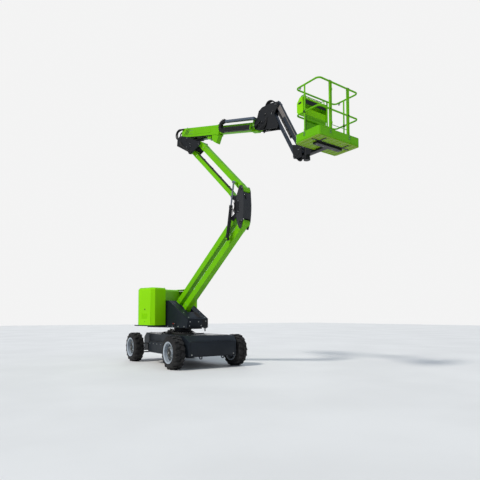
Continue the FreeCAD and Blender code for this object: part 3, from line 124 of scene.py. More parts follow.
class Graph:
    """A short way to add and join nodes in one tree."""

    def __init__(self, tree: bpy.types.NodeTree) -> None:
        """Keeps the tree and empties it."""
        self.tree = tree
        tree.nodes.clear()

    def add(self, kind: str, settings: dict | None = None, **inputs: object) -> bpy.types.Node:
        """Adds a node.

        Args:
            kind: the node's type name.
            settings: attributes to set on it.
            **inputs: values or sockets for its inputs: a space is an underscore, and i0 is the first.

        Returns:
            The node.
        """
        node = self.tree.nodes.new(kind)
        for name, what in (settings or {}).items():
            setattr(node, name, what)
        for name, what in inputs.items():
            key = int(name[1:]) if name[0] == "i" and name[1:].isdigit() else name.replace("_", " ")
            self.feed(node.inputs[key], what)
        return node

    def feed(self, socket: bpy.types.NodeSocket, what: object) -> None:
        """Gives an input a value, or joins an output to it."""
        if isinstance(what, bpy.types.NodeSocket):
            self.tree.links.new(what, socket)
        else:
            socket.default_value = what

    def maths(self, operation: str, first: object, second: object = 0.0, clamp: bool = False) -> bpy.types.NodeSocket:
        """A Math node's result for two values or sockets."""
        return self.add("ShaderNodeMath", {"operation": operation, "use_clamp": clamp}, i0=first, i1=second).outputs[0]

    def ramp(self, factor: bpy.types.NodeSocket, low: float, high: float) -> bpy.types.NodeSocket:
        """Maps a value from low..high to 0..1, smoothly."""
        return self.add("ShaderNodeMapRange", {"interpolation_type": "SMOOTHSTEP"}, Value=factor, From_Min=low,
                        From_Max=high).outputs[0]

    def noise(self, place: object, scale: object, detail: float, rough: float = 0.5) -> bpy.types.NodeSocket:
        """A noise over a surface, 0 to 1."""
        return self.add("ShaderNodeTexNoise", Vector=place, Scale=scale, Detail=detail, Roughness=rough).outputs[0]

    def mix(self, factor: object, first: object, second: object) -> bpy.types.NodeSocket:
        """Mixes two colours by a factor."""
        return self.add("ShaderNodeMix", {"data_type": "RGBA"}, i0=factor, i6=first, i7=second).outputs[2]


def new_group(name: str, inputs: Iterable[tuple[str, str, float]], outputs: Iterable[str]) -> tuple[Graph, dict, dict]:
    """Starts a shader node group.

    Args:
        name: the group's name.
        inputs: each input's name, socket type and default.
        outputs: each output's name; all are numbers.

    Returns:
        The graph, its input sockets and its output node's sockets by name.
    """
    tree = bpy.data.node_groups.new(name, "ShaderNodeTree")
    graph = Graph(tree)
    for label, kind, default in inputs:
        socket = tree.interface.new_socket(label, in_out="INPUT", socket_type=kind)
        if kind == "NodeSocketFloat":
            socket.default_value = default
    for label in outputs:
        tree.interface.new_socket(label, in_out="OUTPUT", socket_type="NodeSocketFloat")
    start, end = graph.add("NodeGroupInput"), graph.add("NodeGroupOutput")
    return graph, {s.name: s for s in start.outputs}, {s.name: s for s in end.inputs}


def mottle_group() -> bpy.types.NodeTree:
    """A group that gives a slow and a fine variation over a surface, both 0 to 1."""
    graph, given, made = new_group(
        "mottle", [("Place", "NodeSocketVector", 0), ("Scale", "NodeSocketFloat", 3.0)], ["Slow", "Fine"])
    slow = graph.noise(given["Place"], given["Scale"], 4.0)
    fine = graph.noise(given["Place"], graph.maths("MULTIPLY", given["Scale"], 14.0), 6.0, 0.65)
    graph.feed(made["Slow"], graph.ramp(slow, 0.32, 0.68))
    graph.feed(made["Fine"], graph.ramp(fine, 0.35, 0.65))
    return graph.tree


def dust_and_sheen_group() -> bpy.types.NodeTree:
    """A group that gives where dust settles, on faces that look up and low down; on the tyres its up-facing share is
    also a painted highlight, the sky's reflection on the lugs.
    """
    graph, given, made = new_group(
        "dust_and_sheen", [("Place", "NodeSocketVector", 0), ("Top", "NodeSocketFloat", 0.3), ("Low", "NodeSocketFloat", 0.4),
                 ("Reach", "NodeSocketFloat", 0.9)], ["Mask"])
    normal = graph.add("ShaderNodeNewGeometry").outputs["Normal"]
    upward = graph.ramp(graph.add("ShaderNodeSeparateXYZ", Vector=normal).outputs[2], 0.55, 0.98)
    height = graph.add("ShaderNodeSeparateXYZ", Vector=given["Place"]).outputs[2]
    share = graph.maths("SUBTRACT", 1.0, graph.maths("DIVIDE", height, given["Reach"]), True)
    patch = graph.ramp(graph.noise(given["Place"], 22.0, 8.0, 0.7), 0.42, 0.66)
    both = graph.maths("ADD", graph.maths("MULTIPLY", upward, given["Top"]),
                       graph.maths("MULTIPLY", share, given["Low"]))
    graph.feed(made["Mask"], graph.maths("MULTIPLY", both, graph.maths("ADD", patch, 0.25), True))
    return graph.tree


def streak_group() -> bpy.types.NodeTree:
    """A group that gives thin upright run marks, 0 to 1."""
    graph, given, made = new_group(
        "streaks", [("Place", "NodeSocketVector", 0), ("Amount", "NodeSocketFloat", 0.3)], ["Mask"])
    drawn = graph.add("ShaderNodeMapping", Vector=given["Place"], Scale=(16.0, 16.0, 0.9)).outputs[0]
    marks = graph.ramp(graph.noise(drawn, 1.0, 4.0), 0.56, 0.74)
    graph.feed(made["Mask"], graph.maths("MULTIPLY", marks, given["Amount"]))
    return graph.tree


GROUPS = {"mottle": mottle_group(), "dust_and_sheen": dust_and_sheen_group(), "streaks": streak_group()}


def tone(*parts: float) -> Colour:
    """A screen colour, each part 0 to 1, as the linear colour that a socket takes."""
    return (*(c / 12.92 if c <= 0.04045 else ((c + 0.055) / 1.055) ** 2.4 for c in parts), 1.0)


def scaled(colour: Colour, share: float) -> Colour:
    """A colour made darker or lighter by a share."""
    return (*(share * part for part in colour[:3]), 1.0)


# Finishes

@dataclass(frozen=True)
class Finish:
    """A surface: its colour, gloss and the marks of use on it, with light painted in: a painted shade on faces that
    look down, for finishes that have one, and a painted sheen on the tyres' up-facing faces.
    """

    name: str
    colour: Colour
    slot: str
    rough: float = 0.42
    metal: float = 0.0
    coat: float = 0.0
    shine: float = 0.5
    vary: float = 0.12
    scale: float = 2.5
    peel: float = 0.0
    peel_scale: float = 260.0
    dust_and_sheen_top: float = 0.1
    dust_low: float = 0.25
    reach: float = 1.1
    dust_and_sheen: Colour = tone(0.55, 0.51, 0.44)
    runs: float = 0.0
    underside_shade: Colour | None = None

    def material(self) -> bpy.types.Material:
        """The finish as a material, made once."""
        found = bpy.data.materials.get(self.name)
        if found is not None:
            return found
        made = bpy.data.materials.new(self.name)
        made.use_nodes = True
        made.diffuse_color = self.colour
        graph = Graph(made.node_tree)
        place = graph.add("ShaderNodeTexCoord").outputs["Object"]
        mottle = graph.add("ShaderNodeGroup", {"node_tree": GROUPS["mottle"]}, Place=place, Scale=self.scale)
        slow, fine = mottle.outputs["Slow"], mottle.outputs["Fine"]
        varied = graph.mix(slow, scaled(self.colour, 1.0 + self.vary), scaled(self.colour, 1.0 - self.vary))
        varied = graph.mix(graph.maths("MULTIPLY", fine, 0.35), varied, scaled(self.colour, 1.0 - 1.4 * self.vary))
        # Painted shade: faces that look down take a darker, yellower colour that stands for the shade under the cage's
        # floor.
        if self.underside_shade is not None:
            normal = graph.add("ShaderNodeNewGeometry").outputs["Normal"]
            down = graph.maths("MULTIPLY", graph.add("ShaderNodeSeparateXYZ", Vector=normal).outputs[2], -1.0)
            varied = graph.mix(graph.ramp(down, 0.5, 0.9), varied, self.underside_shade)
        if self.runs > 0.0:
            runs = graph.add("ShaderNodeGroup", {"node_tree": GROUPS["streaks"]}, Place=place, Amount=self.runs)
            varied = graph.mix(runs.outputs[0], varied, scaled(self.colour, 0.55))
        # Dust on faces that look up and low down; on the tyres the up-facing share is also a painted highlight, the
        # sky's reflection on the upper lugs.
        dust_and_sheen_mask = graph.add("ShaderNodeGroup", {"node_tree": GROUPS["dust_and_sheen"]}, Place=place, Top=self.dust_and_sheen_top,
                         Low=self.dust_low, Reach=self.reach).outputs[0]
        shown = graph.mix(dust_and_sheen_mask, varied, self.dust_and_sheen)
        gloss = graph.maths("ADD", graph.maths("MULTIPLY", slow, 0.1), self.rough - 0.05)
        gloss = graph.maths("ADD", gloss, graph.maths("MULTIPLY", dust_and_sheen_mask, 0.5), True)
        shader = graph.add("ShaderNodeBsdfPrincipled", Base_Color=shown, Roughness=gloss, Metallic=self.metal,
                           Coat_Weight=self.coat, Specular_IOR_Level=self.shine, Coat_Roughness=0.12)
        if self.peel > 0.0:
            raised = graph.maths("ADD", graph.noise(place, self.peel_scale, 3.0), graph.maths("MULTIPLY", fine, 0.4))
            bump = graph.add("ShaderNodeBump", Height=raised, Strength=self.peel, Distance=0.0012)
            graph.feed(shader.inputs["Normal"], bump.outputs[0])
        graph.add("ShaderNodeOutputMaterial", Surface=shader.outputs[0])
        return made


LIME = Finish("lime_paint", tone(0.42, 0.72, 0.0), "green_paint", coat=0.04, shine=0.15, vary=0.06, dust_and_sheen_top=0.02,
              dust_low=0.1, runs=0.06)
COWL = Finish("lime_cowl", tone(0.54, 0.84, 0.0), "cowl_plastic", 0.45, shine=0.12, vary=0.035, scale=1.2, peel=0.08,
              peel_scale=420.0, dust_low=0.1, runs=0.05)
CAST = Finish("lime_cast", tone(0.47, 0.77, 0.0), "cast_weight", coat=0.1, vary=0.06, peel=0.5, peel_scale=90.0,
              dust_low=0.12)
# The tray's colour for faces that look down is painted shade, the shade under the cage's floor.
TRAY = Finish("lime_tray", tone(0.4, 0.7, 0.0), "green_paint", 0.4, coat=0.05, shine=0.15, vary=0.05, peel=0.1,
              dust_low=0.0, underside_shade=tone(0.48, 0.62, 0.0))
SLATE = Finish("slate_coat", tone(0.105, 0.13, 0.158), "slate_paint", 0.4, coat=0.02, shine=0.18, peel=0.02,
               dust_and_sheen_top=0.02, dust_low=0.03)
JIB_GREY = Finish("jib_paint", tone(0.17, 0.2, 0.24), "slate_paint", 0.38, coat=0.05, shine=0.3, vary=0.08, peel=0.1,
                  dust_and_sheen_top=0.05)
BLACK = Finish("black_paint", tone(0.075, 0.08, 0.09), "dark_paint", coat=0.04, shine=0.3, vary=0.15, peel=0.2,
               dust_and_sheen_top=0.08, dust_low=0.15)
CHARCOAL = Finish("charcoal_paint", tone(0.19, 0.195, 0.205), "dark_paint", coat=0.03, shine=0.3, vary=0.1, peel=0.15,
                  dust_and_sheen_top=0.05, dust_low=0.0)
GREY = Finish("grey_coat", tone(0.31, 0.35, 0.41), "grey_paint", shine=0.35, vary=0.06, peel=0.1)
# Painted highlight: the large up-facing share and the neutral grey colour here stand for the sky's reflection on the
# upper lugs, together with some dust.
RUBBER = Finish("tyre_rubber", tone(0.095, 0.095, 0.1), "tyre", 0.78, shine=0.25, vary=0.22, scale=6.0, peel=0.6,
                peel_scale=240.0, dust_and_sheen_top=0.28, dust_low=0.2, reach=1.4, dust_and_sheen=tone(0.4, 0.39, 0.38))
HOSE = Finish("hose_rubber", tone(0.05, 0.05, 0.055), "black_rubber", 0.55, shine=0.35, vary=0.2, scale=9.0, peel=0.25,
              peel_scale=700.0, dust_and_sheen_top=0.08, dust_low=0.1)
PLASTIC = Finish("black_plastic", tone(0.06, 0.06, 0.065), "black_rubber", 0.5, shine=0.35, vary=0.1, scale=5.0,
                 peel=0.4, peel_scale=500.0, dust_and_sheen_top=0.08, dust_low=0.0)
RIM = Finish("rim_coat", tone(0.66, 0.7, 0.74), "rim_paint", 0.36, metal=0.15, coat=0.1, vary=0.07, peel=0.12,
             dust_low=0.18, reach=0.9)
DISC = Finish("wheel_disc", tone(0.17, 0.2, 0.235), "dark_paint", vary=0.15, peel=0.2, dust_low=0.12, reach=0.9)
ZINC = Finish("zinc_plate", tone(0.66, 0.67, 0.66), "grey_paint", 0.34, metal=0.9, scale=14.0, peel=0.1, dust_low=0.2)
CHROME = Finish("chrome_steel", tone(0.66, 0.68, 0.71), "chrome_rod", 0.12, metal=1.0, vary=0.03, scale=8.0,
                dust_and_sheen_top=0.02, dust_low=0.0)
LIME_DARK = Finish("lime_shade", tone(0.3, 0.56, 0.06), "green_paint", 0.4, vary=0.08, peel=0.1, dust_low=0.0)
# Painted sunlight: the pale tone that the jib's sunlit side face shows.
PALE_SUNLIT = Finish("pale_sunlit_cover", tone(0.47, 0.445, 0.43), "grey_paint", vary=0.08, peel=0.12, dust_and_sheen_top=0.05, dust_low=0.0)
RED = Finish("stop_red", tone(0.75, 0.06, 0.04), "black_rubber", 0.35, vary=0.05)
BRASS = Finish("brass_fitting", tone(0.62, 0.5, 0.24), "grey_paint", 0.32, metal=0.9, vary=0.1, scale=20.0)


# Mesh forms

class Form:
    """A mesh built up from simple solids, each with a material slot."""

    def __init__(self, at: Matrix | None = None) -> None:
        """Starts an empty form, whose points are given in a local frame, or in the row frame."""
        self.mesh = bmesh.new()
        self.at = at or Matrix()
        self.finishes: list[Finish] = []

    def _paint(self, faces: Iterable[bmesh.types.BMFace], finish: Finish, smooth: bool = False) -> None:
        """Gives faces their material slot and shading; flat ends stay flat."""
        if finish not in self.finishes:
            self.finishes.append(finish)
        for face in faces:
            face.material_index = self.finishes.index(finish)
            face.smooth = smooth

    def _ring(self, middle: Vector, side: Vector, up: Vector, radius: float, steps: int) -> list[bmesh.types.BMVert]:
        """Points around a middle in the plane of two directions; one point where the radius is nothing."""
        turns = [math.tau * i / steps for i in range(steps if radius > 1e-6 else 1)]
        return [self.mesh.verts.new(self.at @ (middle + radius * (side * math.cos(a) + up * math.sin(a))))
                for a in turns]

    def _skin(self, rings: Sequence[list[bmesh.types.BMVert]]) -> list[bmesh.types.BMFace]:
        """The faces between neighbouring rings of points."""
        faces = []
        for low, high in zip(rings, rings[1:]):
            count = max(len(low), len(high))
            for i in range(count):
                j = (i + 1) % count
                corners = dict.fromkeys((low[i % len(low)], low[j % len(low)], high[j % len(high)],
                                         high[i % len(high)]))
                if len(corners) > 2:
                    faces.append(self.mesh.faces.new(list(corners)))
        return faces

    def block(self, middle: Point, size: Point, finish: Finish, chamfer: float = 0.003, tilt: Matrix | None = None,
              steps: int = 1) -> None:
        """Adds a box with chamfered edges.

        Args:
            middle: its centre.
            size: its three sizes.
            finish: its surface.
            chamfer: the width of the edge chamfer.
            tilt: a turn about its centre.
            steps: 1 for a flat chamfer, more for a round one.
        """
        place = self.at @ shift(*middle) @ (tilt or Matrix()) @ Matrix.Diagonal((*size, 1))
        verts = bmesh.ops.create_cube(self.mesh, size=1.0, matrix=place)["verts"]
        if chamfer > 0:
            edges = list({e for v in verts for e in v.link_edges})
            verts = bmesh.ops.bevel(self.mesh, geom=edges, offset=min(chamfer, 0.45 * min(size)), segments=steps,
                                    profile=0.5, affect="EDGES")["verts"]
        self._paint({f for v in verts for f in v.link_faces}, finish, steps > 1)

    def blocks(self, finish: Finish, chamfer: float, *rows: Sequence[object]) -> None:
        """Adds boxes of one finish; a row has a middle, a size and, for a leaning box, its turn."""
        for middle, size, *tilt in rows:
            self.block(middle, size, finish, chamfer, *tilt)

    def turned(self, profile: Sequence[tuple[float, float]], finish: Finish, start: Point = ORIGIN, axis: Point = UP,
               steps: int = 24, smooth: bool = True) -> None:
        """Adds a turned solid.

        Args:
            profile: pairs of radius and distance along the axis; a ring's first and last pairs are the same,
                else flat ends close it.
            finish: its surface.
            start: the point from which distances are counted.
            axis: the direction of the axis.
            steps: points around.
            smooth: whether its faces are shaded smooth.
        """
        along = Vector(axis).normalized()
        side = along.orthogonal().normalized()
        rings = [self._ring(Vector(start) + along * reach, side, along.cross(side), radius, steps)
                 for radius, reach in profile]
        faces = self._skin(rings)
        self._paint(faces, finish, smooth)
        if tuple(profile[0]) != tuple(profile[-1]):
            ends = [self.mesh.faces.new(ring) for ring in (rings[0], rings[-1]) if len(ring) > 1]
            self._paint(ends, finish)

    def rod(self, start: Point, end: Point, radius: float, finish: Finish, steps: int = 16, edge: float = 0.0) -> None:
        """Adds a round bar between two points, with a chamfer on its ends where an edge width is given."""
        first, last = Vector(start), Vector(end)
        long = (last - first).length
        profile = [(radius - edge, 0.0), (radius, edge), (radius, long - edge), (radius - edge, long)]
        self.turned(profile if edge else profile[1:3], finish, first, last - first, steps)

    def disc(self, radius: float, high: float, finish: Finish, start: Point = ORIGIN, axis: Point = UP,
             steps: int = 24, smooth: bool = True) -> None:
        """Adds a flat round disc that stands on a point."""
        self.turned([(radius, 0.0), (radius, high), (0.0, high)], finish, start, axis, steps, smooth)

    def bolt(self, spot: Point, axis: Point, size: float, washer: bool = True) -> None:
        """Adds a six-sided bolt head on a face, with its washer.

        Args:
            spot: the point on the face.
            axis: the outward direction.
            size: its width across.
            washer: whether a washer lies under it.
        """
        if washer:
            self.turned([(size * 0.78, -0.001), (size * 0.78, 0.0025), (0.0, 0.0025)], ZINC, spot, axis, 16, False)
        self.turned([(size * 0.5, 0.0), (size * 0.5, size * 0.42), (size * 0.42, size * 0.5), (0.0, size * 0.5)], ZINC,
                    spot, axis, 6, False)

    def tube(self, points: Sequence[Point], radius: float, finish: Finish | None = None, steps: int = 10,
             sections: int = 6) -> None:
        """Adds a hose or bent bar along a smooth curve through points.

        Args:
            points: the points of the route.
            radius: its radius.
            finish: its surface; a hose's if None.
            steps: points around.
            sections: parts between two points of the route.
        """
        route = curve_through([Vector(p) for p in points], sections)
        rings, side = [], None
        for i, spot in enumerate(route):
            ahead = (route[min(i + 1, len(route) - 1)] - route[max(i - 1, 0)]).normalized()
            side = (ahead.orthogonal() if side is None else side - ahead * side.dot(ahead)).normalized()
            rings.append(self._ring(spot, side, ahead.cross(side), radius, steps))
        self._paint(self._skin(rings), finish or HOSE, True)
        self._paint([self.mesh.faces.new(ring) for ring in (rings[0], rings[-1])], finish or HOSE)

    def sheet(self, outline: Sequence[tuple[float, float]], axis: Axis, start: float, thick: float,
              finish: Finish) -> None:
        """Adds a flat plate.

        Args:
            outline: its corners, as pairs of the two other axes.
            axis: the axis that it is thick along.
            start: its lower side's place on that axis.
            thick: its thickness.
            finish: its surface.
        """
        cut = axis.value
        rings = [[self.mesh.verts.new(self.at @ Vector((*pair[:cut], level, *pair[cut:]))) for pair in outline]
                 for level in (start, start + thick)]
        self._paint([self.mesh.faces.new(ring) for ring in rings] + self._skin(rings), finish)

    def mesh_data(self, name: str) -> bpy.types.Mesh:
        """The form as a mesh with outward faces; the form ends with it."""
        bmesh.ops.recalc_face_normals(self.mesh, faces=self.mesh.faces)
        data = bpy.data.meshes.new(name)
        self.mesh.to_mesh(data)
        self.mesh.free()
        return data

    def piece(self, name: str, body: str, slot: str | None = None) -> None:
        """Makes the form an object that rides on a body, with the materials of all its finishes; the slot argument is
        not used.
        """
        bmesh.ops.remove_doubles(self.mesh, verts=self.mesh.verts, dist=1e-6)
        data = self.mesh_data(name)
        for finish in self.finishes:
            data.materials.append(finish.material())
        settle(show(name, data), body)


def settle(made: bpy.types.Object, body: str) -> None:
    """Lets an object ride on a body."""
    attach(made, body)


def curve_through(points: Sequence[Vector], sections: int) -> list[Vector]:
    """The points of a smooth curve through the given ones, with a number of parts between two of them."""
    padded = [2 * points[0] - points[1], *points, 2 * points[-1] - points[-2]]
    made = []
    for a, b, c, d in zip(padded, padded[1:], padded[2:], padded[3:]):
        for t in (k / sections for k in range(sections)):
            made.append(0.5 * (2 * b + (c - a) * t + (2 * a - 5 * b + 4 * c - d) * t ** 2
                               + (3 * b - a - 3 * c + d) * t ** 3))
    return [*made, points[-1]]


# Repeats by Geometry Nodes

@dataclass(frozen=True)
class Scatter:
    """Copies of one small form on given places, made by a node tree."""

    name: str
    finish: Finish
    body: str

    def tree(self) -> bpy.types.NodeTree:
        """The tree: copies on points, turned as the points say, made real, with a material."""
        tree = bpy.data.node_groups.new(self.name, "GeometryNodeTree")
        for label, way, kind in (("Places", "INPUT", "Geometry"), ("Copy", "INPUT", "Object"),
                                 ("Size", "INPUT", "Float"), ("Made", "OUTPUT", "Geometry")):
            tree.interface.new_socket(label, in_out=way, socket_type=f"NodeSocket{kind}")
        graph = Graph(tree)
        given = {s.name: s for s in graph.add("NodeGroupInput").outputs}
        copy = graph.add("GeometryNodeObjectInfo", {"transform_space": "ORIGINAL"}, Object=given["Copy"])
        points = graph.add("GeometryNodeMeshToPoints", Mesh=given["Places"])
        turned = graph.add("GeometryNodeInputNamedAttribute", {"data_type": "FLOAT_VECTOR"}, Name="turn")
        placed = graph.add("GeometryNodeInstanceOnPoints", Points=points.outputs[0], Instance=copy.outputs["Geometry"],
                           Rotation=turned.outputs[0], Scale=given["Size"])
        real = graph.add("GeometryNodeRealizeInstances", Geometry=placed.outputs[0])
        dressed = graph.add("GeometryNodeSetMaterial", Geometry=real.outputs[0], Material=self.finish.material())
        graph.add("NodeGroupOutput", Made=dressed.outputs[0])
        return tree

    def place(self, copy: Form, places: Sequence[Matrix]) -> None:
        """Makes the copies one plain mesh that rides on the body.

        Args:
            copy: the small form, around the origin.
            places: where each copy stands, in the row frame.
        """
        pattern = show(self.name + "_copy", copy.mesh_data(self.name + "_copy"))
        spots = bpy.data.meshes.new(self.name + "_places")
        spots.from_pydata([at.to_translation() for at in places], [], [])
        for entry, at in zip(spots.attributes.new("turn", "FLOAT_VECTOR", "POINT").data, places):
            entry.vector = Vector(at.to_euler())
        holder = show(self.name + "_holder", spots)
        nodes = holder.modifiers.new("copies", "NODES")
        nodes.node_group = self.tree()
        given = {item.name: item.identifier for item in nodes.node_group.interface.items_tree}
        nodes[given["Copy"]], nodes[given["Size"]] = pattern, 1.0
        data = bpy.data.meshes.new_from_object(holder.evaluated_get(bpy.context.evaluated_depsgraph_get()))
        data.name = self.name
        for spare in (holder, pattern):
            bpy.data.objects.remove(spare)
        settle(show(self.name, data), self.body)


def facing(spot: Point, outward: Point, base: Matrix | None = None) -> Matrix:
    """A place on a face, its +Z outwards, in the row frame; both are given in a base frame."""
    return (base or Matrix()) @ shift(*spot) @ Vector(outward).to_track_quat("Z", "Y").to_matrix().to_4x4()


def bolts(name: str, body: str, size: float, places: Sequence[Matrix]) -> None:
    """Puts bolt heads with their washers on places of a body."""
    form = Form()
    form.bolt(ORIGIN, UP, size)
    Scatter(name, ZINC, body).place(form, places)


def dress(node: str, finish: Finish) -> None:
    """Gives a carried-over CAD node its finish."""
    shown = frame["nodes"][node].data.materials
    shown.clear()
    shown.append(finish.material())


# Stage, light and camera

def aim(made: bpy.types.Object, at: Point, ahead: Point) -> None:
    """Puts a lamp or a camera at a point, to look in a direction."""
    made.location = at
    made.rotation_euler = Vector(ahead).to_track_quat("-Z", "Y").to_euler()


@dataclass(frozen=True)
class Studio:
    """A pale floor, soft lamps, an even sky and the camera, in metres."""

    eye: Point = (12.006, -6.005, 1.358)
    ahead: Point = (-0.8308, 0.5543, 0.0506)
    lens: float = 34.14
    sensor: float = 36.0
    rise: float = 0.1106
    floor_half: float = 60.0

    def build(self) -> None:
        """Builds the floor, the world, the lamps and the camera, as the photograph was taken."""
        self._floor()
        self._world()
        for name, at, strength, spread, colour in (("key", (3.0, -20.0, 21.0), 2.5, 9.0, (1.0, 0.965, 0.91)),
                                                   ("fill", (20.0, 6.0, 14.0), 0.2, 40.0, (0.9, 0.95, 1.0)),
                                                   ("back", (-20.0, 10.0, 8.0), 0.45, 30.0, (1.0, 1.0, 1.0))):
            lamp = bpy.data.lights.new(name, "SUN")
            lamp.energy, lamp.angle, lamp.color = strength, math.radians(spread), colour
            aim(show(name, lamp), at, -Vector(at))
        data = bpy.data.cameras.new("camera")
        data.lens, data.sensor_width, data.shift_y, data.clip_end = self.lens, self.sensor, self.rise, 200.0
        scene = bpy.context.scene
        scene.camera = show("camera", data)
        aim(scene.camera, self.eye, self.ahead)
        scene.view_settings.view_transform = "Standard"

    def _floor(self) -> None:
        """A wide pale floor with a fine cloudy tone."""
        look = bpy.data.materials.new("floor_pale")
        look.use_nodes = True
        graph = Graph(look.node_tree)
        place = graph.add("ShaderNodeTexCoord").outputs["Object"]
        cloud, grain = graph.noise(place, 0.35, 5.0), graph.noise(place, 45.0, 4.0)
        shade = graph.mix(graph.ramp(cloud, 0.3, 0.7), tone(0.86, 0.86, 0.85), tone(0.89, 0.89, 0.88))
        shade = graph.mix(graph.maths("MULTIPLY", grain, 0.25), shade, tone(0.82, 0.82, 0.81))
        bump = graph.add("ShaderNodeBump", Height=grain, Strength=0.15, Distance=0.002)
        shader = graph.add("ShaderNodeBsdfPrincipled", Base_Color=shade, Roughness=0.85, Normal=bump.outputs[0])
        graph.add("ShaderNodeOutputMaterial", Surface=shader.outputs[0])
        data, h = bpy.data.meshes.new("floor"), self.floor_half
        data.from_pydata([(-h, -h, 0), (h, -h, 0), (h, h, 0), (-h, h, 0)], [], [(0, 1, 2, 3)])
        data.materials.append(look)
        show("floor", data)

    def _world(self) -> None:
        """An even pale sky that the camera sees white."""
        world = bpy.data.worlds.new("sky")
        bpy.context.scene.world = world
        world.use_nodes = True
        graph = Graph(world.node_tree)
        path = graph.add("ShaderNodeLightPath")
        seen = graph.maths("MAXIMUM", path.outputs["Is Camera Ray"], path.outputs["Is Transmission Ray"])
        direction = graph.add("ShaderNodeTexCoord").outputs["Generated"]
        height = graph.add("ShaderNodeSeparateXYZ", Vector=direction).outputs[2]
        light = graph.mix(graph.ramp(height, -0.1, 0.7), (0.36, 0.37, 0.39, 1.0), (0.36, 0.42, 0.52, 1.0))
        colour = graph.mix(seen, light, (0.9, 0.9, 0.9, 1.0))
        back = graph.add("ShaderNodeBackground", Color=colour, Strength=1.0)
        graph.add("ShaderNodeOutputWorld", Surface=back.outputs[0])


# Wheels

@dataclass(frozen=True)
class Wheel:
    """What a wheel has beyond its tyre and rim: the dish, its nuts, the valve and the sidewall ribs."""

    corner: str
    side: int
    face: float = 0.066
    dish: float = 0.226
    flange: float = 0.162
    hub: float = 0.11
    nuts: int = 9
    nut_ring: float = 0.137
    nut_size: float = 0.03
    ribs: int = 36
    rib_ring: float = 0.318

    def build(self) -> None:
        """Builds the wheel's trim in its frame: +Z outwards along its axle, origin at its middle."""
        body, face, hub, size = f"wheel_{self.corner}", self.face, self.hub, self.nut_size
        at = facing(pin(f"{body}_roll"), (0, self.side, 0))
        form = Form(at)
        form.turned([(self.dish, face - 0.001), (self.dish, face + 0.004), (self.dish - 0.02, face + 0.008),
                     (self.flange + 0.012, face + 0.008), (self.flange, face + 0.014), (self.flange, face + 0.02),
                     (hub + 0.004, face + 0.02), (hub + 0.004, face + 0.001)], DISC, steps=48)
        form.turned([(hub - 0.015, face + 0.045), (hub - 0.02, face + 0.056), (0.05, face + 0.06),
                     (0.0, face + 0.06)], BLACK, steps=36)
        form.disc(0.026, 0.008, ZINC, (0, 0, face + 0.058), steps=6, smooth=False)
        form.rod((0.222, 0.02, 0.084), (0.21, 0.02, 0.119), 0.004, BRASS, 8)
        form.turned([(0.2445, 0.135), (0.2515, 0.137), (0.2525, 0.131), (0.2455, 0.129), (0.2445, 0.135)], RIM,
                    steps=64)
        form.piece(f"dish_{self.corner}", body)
        nut, rib = Form(), Form()
        nut.disc(size * 0.75, 0.003, ZINC, steps=16, smooth=False)
        nut.turned([(size * 0.56, 0.002), (size * 0.56, 0.017), (size * 0.46, 0.021), (0, 0.021)], ZINC, steps=6,
                   smooth=False)
        nut.rod((0, 0, 0.015), (0, 0, 0.029), 0.0085, ZINC, 10, 0.002)
        Scatter(f"nuts_{self.corner}", ZINC, body).place(nut, [
            at @ turn(360 * i / self.nuts) @ shift(self.nut_ring, 0, face + 0.02) for i in range(self.nuts)])
        rib.block(ORIGIN, (0.03, 0.007, 0.006), RUBBER, 0.0015)
        Scatter(f"sidewall_ribs_{self.corner}", RUBBER, body).place(rib, [
            at @ turn(360 * (i + 0.25 * side) / self.ribs) @ shift(self.rib_ring, 0, side * 0.1465)
            for i in range(self.ribs) for side in SIDES])


# Chassis

